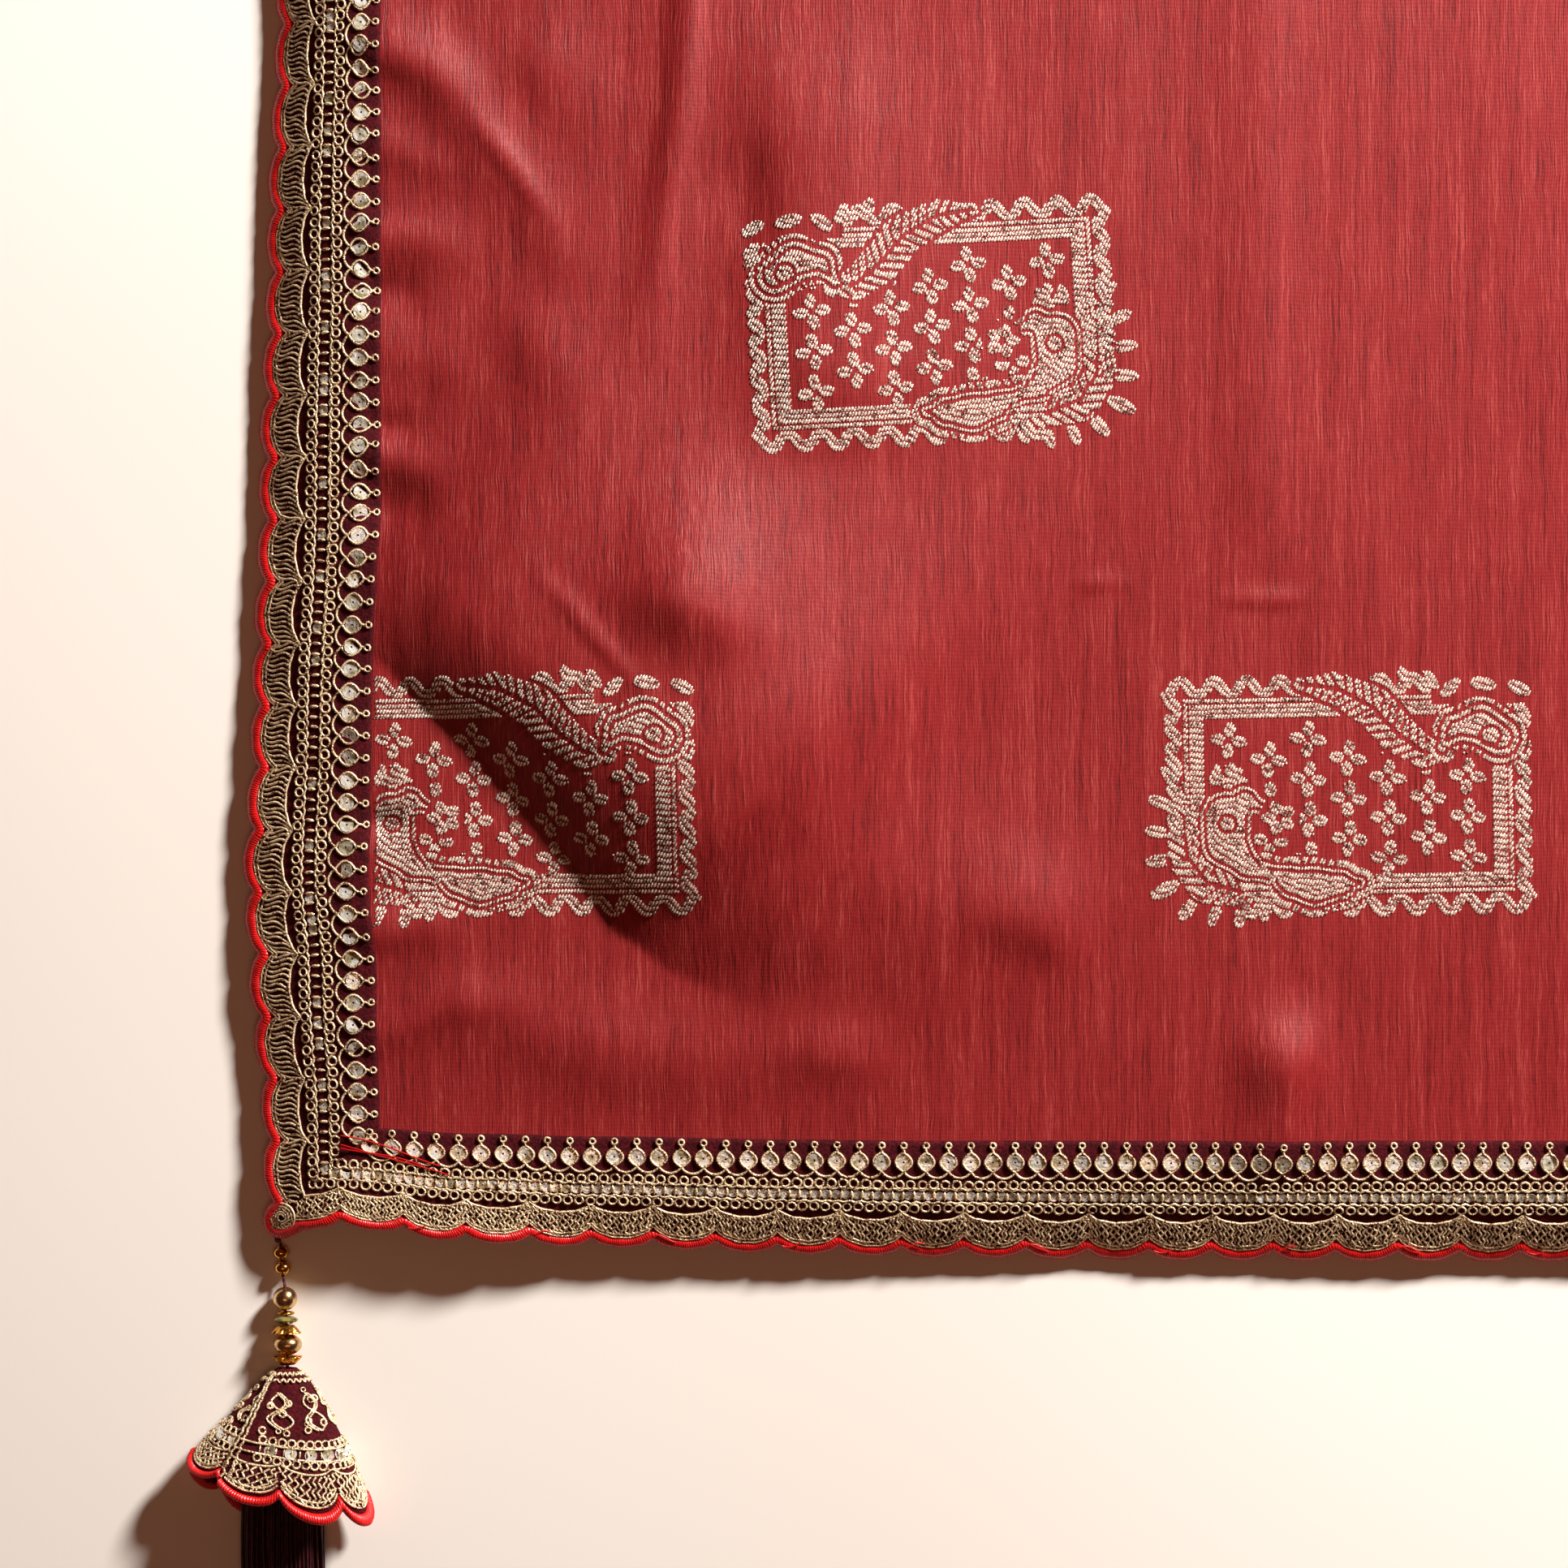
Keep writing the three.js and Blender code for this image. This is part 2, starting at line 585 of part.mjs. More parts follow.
function tasselSkein() {
  const headLoop = (y, wide, high, z) => Array.from({ length: 16 }, (_, k) => {
    const a = 2 * Math.PI * k / 16;
    return [-275.5 + wide * Math.cos(a), y, z + high * Math.sin(a)];
  });
  const middle = HEAD.high + 1.9;
  let body = solid(loft([
    headLoop(HEAD.end, HEAD.wide, HEAD.high, middle),
    headLoop(mix(HEAD.start, HEAD.end, 0.6), HEAD.wide * 0.82, HEAD.high * 0.94, middle),
    headLoop(HEAD.start, HEAD.wide * 0.5, HEAD.high * 0.6, middle - 0.8),
  ]));
  const strands = [];
  const rowsUp = Math.floor((HEAD.high - 0.9) / STRAND_PITCH);
  for (let j = -rowsUp; j <= rowsUp; j += 1) {
    const reach = Math.sqrt(1 - (j * STRAND_PITCH / (HEAD.high - 0.2)) ** 2) * (HEAD.wide - 0.8);
    const beside = Math.floor(reach / STRAND_PITCH);
    for (let i = -beside; i <= beside; i += 1) {
      const dx = (i + (j % 2 ? 0.5 : 0)) * STRAND_PITCH;
      if (Math.abs(dx) <= reach) {
        strands.push({ dx, dz: j * STRAND_PITCH, k: strands.length });
      }
    }
  }
  const rods = strands.map(({ dx, dz, k }) => {
    const trim = 7 * Math.abs(Math.sin(k * 2.4));
    const path = [0, 0.2, 0.45, 0.7, 1].map((t) => {
      const spread = mix(1, STRAND_SPREAD, smooth(t));
      const settle = mix(middle, HEAD.high + 0.9, smooth(t));
      const end = STRAND_END_Y + trim;
      return new THREE.Vector3(
        -275.5 + dx * spread - 2.2 * Math.sin(t * 3.2) + 3 * t,
        mix(HEAD.end + 1.2, end, t),
        settle + dz * mix(1, 0.96, t),
      );
    });
    return solid(rod(path, STRAND_SIZE / Math.SQRT2, 4));
  });
  body = rods.reduce((sum, r) => sum.add(r), body);
  return fromSolid('tassel_skein', body, 0x2a080c, 0.9);
}

const saree = new THREE.Group();
saree.name = 'saree';
saree.add(
  palluCloth(),
  foldedLayers(),
  sideLace(),
  endLace(),
  tasselCord(),
  ...BEADS.map(turned),
  tasselCone(),
  tasselSkein(),
);

export default saree;
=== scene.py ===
"""A folded red silk saree with its pallu corner, stitched lace and latkan, dressed for the studio."""

import math

import bmesh
import bpy
import numpy as np
from bpy.props import FloatProperty, IntProperty, PointerProperty
from mathutils import Matrix, Vector


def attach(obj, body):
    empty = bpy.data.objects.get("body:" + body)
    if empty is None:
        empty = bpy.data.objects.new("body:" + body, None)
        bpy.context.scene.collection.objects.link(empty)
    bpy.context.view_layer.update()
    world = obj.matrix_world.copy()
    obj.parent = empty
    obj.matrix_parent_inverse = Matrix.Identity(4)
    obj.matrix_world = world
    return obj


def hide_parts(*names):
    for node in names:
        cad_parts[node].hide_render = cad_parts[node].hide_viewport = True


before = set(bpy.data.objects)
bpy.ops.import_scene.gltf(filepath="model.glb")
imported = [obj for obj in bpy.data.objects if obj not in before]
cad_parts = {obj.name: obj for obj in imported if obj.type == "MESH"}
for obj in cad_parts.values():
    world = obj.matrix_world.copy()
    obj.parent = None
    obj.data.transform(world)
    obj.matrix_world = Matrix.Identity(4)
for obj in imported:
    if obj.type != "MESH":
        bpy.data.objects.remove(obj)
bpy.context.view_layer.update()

bl_info = {
    "name": "Folded saree with a pallu corner",
    "version": (1, 0, 0),
    "blender": (4, 5, 0),
    "location": "View3D > Sidebar > Saree",
    "description": "Silk cloth, stitched lace, woven butis and a beaded latkan on a folded saree",
    "category": "Object",
}

MM = 0.001

# ---------------------------------------------------------------- sizes, in millimetres

CLOTH_TOP = 1.2          # the top face of the cloth over the underside of its solid
PACK_TOP = 12.0          # the top of the hidden plies
REST = 1.6               # from there up to the underside of the top layer
FOLD_X, FOLD_Y, FOLD_RADIUS = 274.0, 299.0, 6.0     # where the top layer turns down
QUARTER_TURN = FOLD_RADIUS * math.pi / 2
CLOTH_LEFT, CLOTH_RIGHT = -249.0, FOLD_X + QUARTER_TURN
CLOTH_FRONT, CLOTH_BACK = -272.0, FOLD_Y + QUARTER_TURN
SEAM_LAP = 4.0           # how far the cloth runs on under the lace
PACK_LEFT, PACK_FRONT = -257.0, -279.0
PLIES = 9                # plies that show at the edge of the stack
DROP_IN, DROP_CURVE = 6.0, 1.7      # the top layer falls from this far inside that edge
LACE_TOP = 1.75          # the lace lies on the cloth's edge
LACE_WIDTH = 36.5
SCALLOP = 19.2
END_PLAIN = 12.4         # plain edge of the end lace where it rounds the corner
END_OVER = 0.25          # how much higher the end lace is stitched, over the side lace
CORNER_INNER = (-245.5, -265.8)
CORNER_OUTER = (-279.4, -299.2)
CORNER_FLOWER = (-275.3, -294.0)
# the satin roll round the corner, from the side's last cusp to the end's plain edge
CORNER_ROLL = np.array([(-275.5, -289.5), (-277.5, -290.9), (-279.5, -293.2), (-280.1, -296.2),
                        (-278.4, -298.7), (-275.2, -299.1), (-272.0, -297.6), (-269.6, -296.1)])

# Rows of the embroidery, in millimetres out from the seam of the lace.
OVAL_TIP, OVAL_LENGTH, OVAL_BULGE = 3.7, 5.8, 2.55
OVALS, OVAL_PITCH, OVAL_MARGIN = 6.5, 6.85, 3.0
TIP_RINGS = 1.6
LADDER, LADDER_PITCH, LADDER_MARGIN = 17.1, 3.2, 1.2
CORDS = (19.2, 15.0)
RING_RADIUS = 1.35
RING_ROWS = ((20.9, 3.45), (13.6, 3.5))      # with the pitch of the rings
FAN_START = 8.8          # no fan stands nearer the corner than this
ROLL_START = 9.4         # nor does the straight roll; the corner roll takes over there
FAN_INNER = (25.3, 3.0)  # at a crown of the scallops, and how much less at a cusp
FAN_OUTER = (33.1, 4.1)
GROUND_EDGE = (LACE_WIDTH - 1.4, 3.4)
ROLL_EDGE = (LACE_WIDTH - 1.3, 3.7)

# Lines of the lace: along, seam, outer line and the height of the outer line.
SIDE_LINES = np.array([
    (-312, -245.5, -279.0, 5.0), (-266, -245.5, -281.5, 3.6), (-219, -246.3, -285.5, 2.8),
    (-189, -248.8, -287.5, 2.2), (-144, -248.0, -285.0, 2.0), (-69, -245.0, -282.5, 0.3),
    (6, -245.0, -280.0, 0.7), (81, -245.0, -277.0, 0.3), (190, -245.0, -278.5, 0.5),
    (320, -245.0, -279.0, 7.6)])
END_LINES = np.array([
    (-290, -265.5, -299.0, 8.0), (-257, -265.8, -296.5, 11.6), (-215, -267.9, -301.1, 10.8),
    (-178, -268.7, -302.4, 5.6), (-112, -269.7, -304.5, 4.0), (-78, -270.0, -305.4, 2.6),
    (-28, -270.0, -306.2, 1.0), (10, -270.0, -306.6, 1.2), (80, -270.0, -306.8, 1.6),
    (290, -270.0, -307.0, 8.4)])

# The main ridge: x, y and height of its crest, and how far from it its steep side, rounded
# over like a shoulder, meets the flat cloth in a crease. Its back falls away slowly.
RIDGE_BACK, RIDGE_ROUND = 95, 1.75
RIDGE = [
    (-246, -86, 0, 28), (-234, -93, 4, 30), (-222, -101, 8, 32), (-208, -113, 11.5, 33),
    (-190, -128, 14.5, 35), (-170, -144, 16.5, 39), (-153, -159, 17, 43), (-140, -174, 14.5, 45),
    (-128, -187, 7, 42), (-114, -200, 1.5, 35), (-100, -212, 0, 27)]

# Folds of the top layer: spread on the left and right of the way each runs, then the
# points of its crest with their heights.
FOLDS = [
    (34, 26, [(-152, -104, 0), (-118, -158, 2.6), (-72, -196, 3.2), (-20, -214, 0)]),
    (34, 14, [(-182, -92, 0), (-150, -104, 4.4), (-112, -118, 0)]),
    (10, 6, [(-150, 110, 1), (-154, 40, 1.5), (-160, 0, 1.1), (-168, -40, 0)]),
    (12, 9, [(-243, 70, 1.2), (-222, 48, 2.6), (-196, 14, 1.4), (-178, -20, 0)]),
    (9, 13, [(24, 230, 0), (26, 90, 1.3), (25, -60, 1.3), (22, -110, 0)]),
    (9, 14, [(40, -222, 0), (34, -248, 3.4), (30, -268, 2.4)]),
    (14, 14, [(-214, -232, 1.4), (-178, -242, 2.4), (-100, -248, 0.6)]),
    (60, 60, [(130, 210, 1.5), (170, 20, 2.6), (150, -190, 1.2)]),
]

# Small creases, in the same form: puckers from the seam, lines along the weave, dimples.
CREASES = [
    (3.2, 2.2, [(-203, -88, 0), (-180, -114, 1.0), (-156, -142, 0)]),
    (3.0, 2.2, [(-226, 56, 0), (-205, 30, 1.5), (-188, 6, 0)]),
    (9.0, 4.5, [(-246, 64, 2.2), (-230, 60, 1.8), (-214, 46, 0)]),
    (8.0, 5.0, [(-246, 36, 1.4), (-230, 31, 1.2), (-214, 22, 0)]),
    (5.0, 4.0, [(-246, 16, -0.8), (-234, 15, -0.6), (-224, 11, 0)]),
    (9.0, 6.0, [(-246, 8, 1.6), (-232, 7, 1.4), (-212, 0, 0)]),
    (6.0, 7.0, [(-246, -8, -2.4), (-238, -8, -1.8), (-229, -9, 0)]),
    (12.0, 7.0, [(-246, -27, 1.2), (-226, -31, 1.0), (-205, -40, 0)]),
    (4.0, 5.0, [(-246, -50, -2.0), (-239, -50, -1.4), (-232, -52, 0)]),
    (7.0, 4.0, [(-246, -60, 1.6), (-236, -62, 1.2), (-222, -66, 0)]),
    (8.0, 7.0, [(-246, -74, -2.6), (-236, -75, -1.8), (-226, -78, 0)]),
    (5.0, 6.0, [(-246, -172, -2.2), (-240, -173, -1.4), (-233, -176, 0)]),
    (7.0, 5.0, [(-246, 96, 1.6), (-234, 92, 1.0), (-220, 84, 0)]),
    (3.0, 5.0, [(-147, 110, 0.8), (-150, 66, 1.2), (-158, 6, 0.5), (-160, -20, 0)]),
    (3.0, 2.0, [(-36, -98, 0), (-24, -99, 0.6), (-10, -98, 0)]),
    (3.0, 2.0, [(8, -103, 0), (28, -104, 0.8), (46, -103, 0)]),
    (18.0, 10.0, [(-74, -194, 0), (-46, -202, 3.0), (-18, -216, 0)]),
    (12.0, 8.0, [(-134, -240, 0), (-108, -243, 1.7), (-80, -246, 0)]),
    (8.0, 6.0, [(-246, -238, 1.8), (-224, -228, 1.4), (-192, -226, 0)]),
    (7.0, 6.0, [(-246, -206, 2.0), (-232, -204, 1.4), (-216, -208, 0)]),
    (12.0, 12.0, [(-212, -6, 0), (-196, -24, 1.6), (-176, -60, 0)]),
    (20.0, 13.0, [(-176, -95, 0), (-150, -105, 1.6), (-120, -115, 0)]),
    (14.0, 10.0, [(-204, 78, 0), (-196, 62, 1.8), (-176, 30, 0)]),
    (9.0, 9.0, [(-128, 42, 0), (-132, 22, -1.3), (-134, -4, 0)]),
    (40.0, 19.0, [(-122, 90, 0), (-116, 34, 4.2), (-112, -30, 4.4), (-114, -66, 0)]),
    (30.0, 24.0, [(-144, -180, 0), (-114, -202, 3.6), (-84, -214, 1.8), (-50, -224, 0)]),
    (11.0, 9.0, [(28, -228, 0), (30, -246, 1.8), (34, -262, 0.6)]),
]

# Turned pieces of the latkan, from its knot to its skirt: place, radius and length.
KNOT = (-278.0, -300.9, 4.6)
BEADS = {
    "small_bead_1": (-277.1, -305.8, 2.5, 4.3),
    "small_bead_2": (-276.6, -310.5, 2.6, 4.3),
    "large_bead_1": (-275.8, -319.9, 3.75, 7.4),
    "spacer_ring": (-275.6, -324.5, 2.7, 0.9),
    "rondelle": (-275.4, -326.4, 3.9, 2.2),
    "bead_cap_1": (-275.2, -329.1, 5.1, 2.4),
    "large_bead_2": (-274.9, -334.0, 4.4, 6.6),
    "bead_cap_2": (-274.9, -338.9, 5.1, 2.4),
}

CORD_END = (-275.1, -344.8, 4.6)            # inside the neck of the skirt
CORD_RISE = 0.27         # the cord's middle over the middles of the beads
PLY_RADIUS, PLY_AWAY = 0.3, 0.26            # a ply of the cord, and how far it is off its middle

# Stations of the skirt: share of its length, x, y, z, half width, half height.
SKIRT = np.array([
    (0.00, -275.0, -341.2, 5.3, 3.0, 2.6), (0.12, -275.2, -344.4, 5.5, 7.0, 4.4),
    (0.35, -275.6, -351.8, 6.9, 13.0, 6.6), (0.60, -276.0, -360.0, 8.5, 19.2, 8.2),
    (0.82, -276.3, -367.4, 9.5, 24.2, 9.2), (1.00, -276.5, -374.0, 10.1, 27.8, 9.8)])
SKIRT_LEAN = 0.29
SKIRT_SCALLOPS = 8
SKIRT_PITCH = 1.0 / SKIRT_SCALLOPS
SKIRT_TURNS = 1.045      # the lace goes once round the skirt and laps over its start
SKIRT_LIFT = 0.5         # stitches over the ground of the skirt
SKIRT_BAR_ROW = 0.632    # share of the skirt's length where its bars and sequins are

TASSEL_X, TASSEL_TOP = -275.5, -350.5       # the middle of the head of the threads
GOLDEN_ANGLE = 2.39996   # spreads the threads evenly over the head

# Half sections of the turned pieces: along the cord, and out from it.
CAP_SECTION = [
    (-1.2, 1.2), (-1.2, 2.4), (-0.5, 3.2), (0.2, 3.9), (0.9, 4.5), (1.2, 5.0), (1.25, 4.6),
    (0.8, 3.9), (0.3, 3.2), (-0.3, 2.4), (-0.7, 1.2), (-1.2, 1.2)]
RONDELLE_SECTION = [
    (-1.1, 1.35), (-1.1, 2.2), (-0.55, 3.5), (0, 3.9), (0.55, 3.5), (1.1, 2.2), (1.1, 1.35),
    (-1.1, 1.35)]
PETALS_FROM, PETALS_DEEP = 2.6, 2.4         # where the petals of a cap begin, and their depth

# A buti: half its frame, the width of the frame, and the leaves at two of its corners by
# their place, turn and length.
BUTI_HALF_X, BUTI_HALF_Y, BUTI_BAND = 50.5, 30.5, 6.2
BACK_LEAVES = ((-53, 32, 0.5, 8), (-42, 33.5, 0.2, 8.5), (-32, 32.5, -0.7, 8),
               (-26, 35, 1.0, 7), (-18, 36, 1.1, 7.5), (-54, 24, 1.4, 6.5))
FRONT_LEAVES = ((55, 7, 0.9, 7.5), (58, -1, 0.4, 8.5), (59, -10, 0.1, 8.5),
                (58.5, -19, -0.1, 9), (57, -28, -0.5, 10), (50, -34, -0.9, 9),
                (42, -36, -1.2, 8), (34, -36.5, -1.3, 8), (26, -35, -1.2, 7.5),
                (41, 7, 1.9, 7), (35, 6.5, 2.3, 7))
BUTI_SLANT = math.radians(62)               # the rows of floats lean this way
BUTI_ROW, FLOAT_GAP, FLOAT_LONGEST = 0.86, 0.3, 1.7
BUTI_AT = (-75.75, -18.75)                  # the middle of one buti; the others are set from it
BUTI_LEFT, BUTI_FRONT = -247.0, -268.0      # no float is woven beyond these lines

# Finishes: dark to light colours; for zari also metallic, roughness and pitch of the winding
SILK = ("660a0d", "8b1a1c", "a83e3a")
# the zari's dark colours are painted shade between the windings, its light colours a painted
# highlight on their crowns
LACE_ZARI = ("6c3514", "ffe6bc", 0.3, 0.3, 0.0006)
BUTI_ZARI = ("54301f", "fff8e8", 0.5, 0.42, 0.0008)

# The stage, in metres: what the camera sees across, its height over the cloth, and where
# the lamps point.
VIEW_WIDTH, CAMERA_HEIGHT, CLOTH_LEVEL = 0.483, 1.4, 0.014
VIEW_MIDDLE = (-0.121, -0.16025)
LAMP_TARGET = Vector((-0.12, -0.16, 0.0))
LAMP_DISTANCE = 1.9
SENSOR = 36


# ---------------------------------------------------------------- settings

class SareeCloth(bpy.types.PropertyGroup):
    wall: FloatProperty(
        name="Cloth thickness", description="Thickness of the cloth shell", unit="LENGTH",
        default=0.0004)
    buti_columns: FloatProperty(
        name="Buti columns", description="Distance between columns of butis", unit="LENGTH",
        default=0.1285)
    buti_rows: FloatProperty(
        name="Buti rows", description="Distance between butis in a column", unit="LENGTH",
        default=0.290)


class SareeLace(bpy.types.PropertyGroup):
    thread: FloatProperty(
        name="Zari thread", description="Radius of the gold thread", unit="LENGTH",
        default=0.0004)
    roll: FloatProperty(
        name="Edge roll", description="Radius of the satin roll", unit="LENGTH",
        default=0.00185)


class SareeLatkan(bpy.types.PropertyGroup):
    strands: IntProperty(
        name="Strands", description="Threads in the tassel", default=240, min=40, max=250)
    end: FloatProperty(
        name="Tassel end", description="Where the threads end along Y", unit="LENGTH",
        default=-0.468)


# ---------------------------------------------------------------- curves of the sheet

def smooth(t):
    """Eases a share from 0 to 1."""
    t = np.clip(t, 0.0, 1.0)
    return t * t * (3 - 2 * t)


def line_value(lines, at, column):
    """A column of a table of lines at a place along it, eased between its rows."""
    at = np.asarray(at, float)
    rows = np.clip(np.searchsorted(lines[:, 0], at) - 1, 0, len(lines) - 2)
    t = smooth((at - lines[rows, 0]) / (lines[rows + 1, 0] - lines[rows, 0]))
    return lines[rows, column] + (lines[rows + 1, column] - lines[rows, column]) * t


def soft_noise(x, y, size_x, size_y, seed):
    """Smooth noise from -1 to 1 with its own size across and along."""
    cells = np.random.default_rng(seed).uniform(-1, 1, (128, 128))
    gx, gy = x / size_x + 500, y / size_y + 500
    ix, iy = np.floor(gx).astype(int), np.floor(gy).astype(int)
    fx, fy = smooth(gx - ix), smooth(gy - iy)
    a, b = cells[ix % 128, iy % 128], cells[(ix + 1) % 128, iy % 128]
    c, d = cells[ix % 128, (iy + 1) % 128], cells[(ix + 1) % 128, (iy + 1) % 128]
    return (a * (1 - fx) + b * fx) * (1 - fy) + (c * (1 - fx) + d * fx) * fy


def box_mean(grid, axis, half=9):
    """The mean of a grid over a window along one axis."""
    edge = [(half + 1, half) if k == axis else (0, 0) for k in (0, 1)]
    total = np.cumsum(np.pad(grid, edge, mode="edge"), axis=axis)
    width = 2 * half + 1
    high = np.take(total, np.arange(width, total.shape[axis]), axis)
    low = np.take(total, np.arange(0, total.shape[axis] - width), axis)
    return (high - low) / width


def beside(path, x, y, ease):
    """For each point the square of its distance from a path, the side of the path it lies
    on, and the further columns of the path there, eased between its rows."""
    best = np.full(x.shape, np.inf)
    side = np.zeros(x.shape)
    values = [np.zeros(x.shape) for _ in path[0][2:]]
    for start, end in zip(path, path[1:]):
        dx, dy = end[0] - start[0], end[1] - start[1]
        t = np.clip(((x - start[0]) * dx + (y - start[1]) * dy) / (dx * dx + dy * dy), 0, 1)
        ex, ey = x - start[0] - dx * t, y - start[1] - dy * t
        square = ex * ex + ey * ey
        near = square < best
        best = np.where(near, square, best)
        side = np.where(near, dx * ey - dy * ex, side)
        share = ease(t)
        values = [np.where(near, a + (b - a) * share, value)
                  for a, b, value in zip(start[2:], end[2:], values)]
    return best, side, values


def ridge_height(x, y):
    """The height that the main ridge adds at each point."""
    best, side, (height, foot) = beside(RIDGE, x, y, lambda t: t)
    back = np.exp(-best / RIDGE_BACK ** 2)
    steep = np.maximum(0, 1 - (np.sqrt(best) / foot) ** RIDGE_ROUND)
    rise = height * np.where(side > 0, back, steep)
    # away from the crest the back is smoothed, so that no corner of the crest shows in it
    soft = rise
    for _ in range(3):
        soft = box_mean(box_mean(soft, 0), 1)
    away = np.where(side > 0, smooth((np.sqrt(best) - 4) / 22), 0.0)
    return rise + (soft - rise) * away


def fold_height(fold, x, y):
    """The height that one fold adds at each point."""
    left, right, path = fold
    best, side, (height,) = beside(path, x, y, smooth)
    return height * np.exp(-best / np.where(side > 0, left, right) ** 2)


def sheet_height(x, y):
    """The height of the underside of the top layer over each point of the plan."""
    brink_x, brink_y = PACK_LEFT + DROP_IN, PACK_FRONT + DROP_IN
    side = (brink_x - x) / (brink_x - line_value(SIDE_LINES, y, 2))
    front = (brink_y - y) / (brink_y - line_value(END_LINES, x, 2))
    level = PACK_TOP + REST
    side_drop = (level - line_value(SIDE_LINES, y, 3)) * np.maximum(0, side) ** DROP_CURVE
    front_drop = (level - line_value(END_LINES, x, 3)) * np.maximum(0, front) ** DROP_CURVE
    folds = ridge_height(x, y) + sum(fold_height(fold, x, y) for fold in FOLDS)
    creases = sum(fold_height(fold, x, y) for fold in CREASES)
    reach = np.maximum(np.maximum(side, front), 0)
    # folds fade under the lace, and towards the turned edges at the right and the back
    held = smooth(1 - reach * 0.75)
    ease = smooth((FOLD_X - x) / 60) * smooth((FOLD_Y - y) / 60)
    # a slight unevenness everywhere, long in the way of the warp, and a wave in the lace
    drape = (0.32 * soft_noise(x, y, 46, 70, 3) + 0.16 * soft_noise(x, y, 17, 44, 5)
             + 0.07 * soft_noise(x, y, 5.5, 120, 9) + 0.05 * soft_noise(x, y, 9, 9, 11))
    wave = 0.9 * soft_noise(x, y, 24, 24, 21) * reach
    return (level + (folds + creases * (1 - 0.8 * np.clip(reach * 2, 0, 1))) * held * ease
            + drape * ease + wave - np.hypot(side_drop, front_drop))


STEP = 1.0
GRID_X = np.arange(-304.0, 300.0, STEP)
GRID_Y = np.arange(-322.0, 314.0, STEP)
HEIGHTS = sheet_height(*np.meshgrid(GRID_X, GRID_Y, indexing="ij"))
SLOPE_X, SLOPE_Y = np.gradient(HEIGHTS, STEP)


def sample(grid, x, y):
    """Values of a grid of the sheet at any points of the plan."""
    gx = np.clip((x - GRID_X[0]) / STEP, 0, len(GRID_X) - 1.001)
    gy = np.clip((y - GRID_Y[0]) / STEP, 0, len(GRID_Y) - 1.001)
    ix, iy = gx.astype(int), gy.astype(int)
    fx, fy = gx - ix, gy - iy
    return ((grid[ix, iy] * (1 - fx) + grid[ix + 1, iy] * fx) * (1 - fy)
            + (grid[ix, iy + 1] * (1 - fx) + grid[ix + 1, iy + 1] * fx) * fy)


def on_sheet(u, v, above):
    """Points of the sheet in metres, lifted off its underside, turned down past its folds."""
    u, v = np.asarray(u, float), np.asarray(v, float)
    turn_x = np.clip((u - FOLD_X) / FOLD_RADIUS, 0, math.pi / 2)
    turn_y = np.clip((v - FOLD_Y) / FOLD_RADIUS, 0, math.pi / 2)
    x, y = np.minimum(u, FOLD_X), np.minimum(v, FOLD_Y)
    normal = np.stack([-sample(SLOPE_X, x, y) + np.sin(turn_x),
                       -sample(SLOPE_Y, x, y) + np.sin(turn_y),
                       np.cos(turn_x) * np.cos(turn_y)], -1)
    normal /= np.linalg.norm(normal, axis=-1, keepdims=True)
    base = np.stack([x + FOLD_RADIUS * np.sin(turn_x), y + FOLD_RADIUS * np.sin(turn_y),
                     sample(HEIGHTS, x, y) - FOLD_RADIUS
                     + FOLD_RADIUS * np.cos(turn_x) * np.cos(turn_y)], -1)
    return (base + normal * np.asarray(above, float)[..., None]) * MM


def scallop_depth(along, pitch=SCALLOP):
    """How far the edge of the lace stands in from its crowns, deepest at the cusps."""
    s = 2 * np.mod(np.asarray(along, float) / pitch + 0.5, 1.0) - 1
    return (1 - np.sqrt(1 - 0.9 * s * s)) / (1 - math.sqrt(0.1))


def inset_at(key, along):
    """The scallops' depth along one lace; the end lace starts with a plain stretch."""
    return scallop_depth(np.maximum(0, along - END_PLAIN) if key == "end" else along)


def on_side_lace(along, out, above):
    """Points on the side lace: along from the corner, out from the seam."""
    v = CORNER_OUTER[1] + np.asarray(along, float)
    seam, edge = line_value(SIDE_LINES, v, 1), line_value(SIDE_LINES, v, 2)
    return on_sheet(seam + (edge - seam) * np.asarray(out, float) / LACE_WIDTH, v, above)


def on_end_lace(along, out, above):
    """Points on the end lace: along from the corner, out from the seam."""
    u = CORNER_OUTER[0] + np.asarray(along, float)
    seam, edge = line_value(END_LINES, u, 1), line_value(END_LINES, u, 2)
    return on_sheet(u, seam + (edge - seam) * np.asarray(out, float) / LACE_WIDTH, above)


# the points of each lace, its length, and where its inner edge begins
LACES = {
    "side": (on_side_lace, CLOTH_BACK - CORNER_OUTER[1], CORNER_INNER[1] - CORNER_OUTER[1]),
    "end": (on_end_lace, CLOTH_RIGHT - CORNER_OUTER[0], CORNER_INNER[0] - CORNER_OUTER[0]),
}


def mitre(out, start):
    """Where the lace begins along its edge, so that the two pieces meet on a diagonal."""
    return start * (1 - np.asarray(out, float) / LACE_WIDTH)


def row_of(key, out, pitch, margin=1.2):
    """Places along a lace for a row that lies a distance out from its seam."""
    _, length, start = LACES[key]
    return np.arange(float(mitre(out, start)) + margin, length - 1.5, pitch)


def stitch_lift(key, above):
    """The height of stitches on a lace, over the underside of the sheet."""
    return LACE_TOP + above + (END_OVER if key == "end" else 0.0)


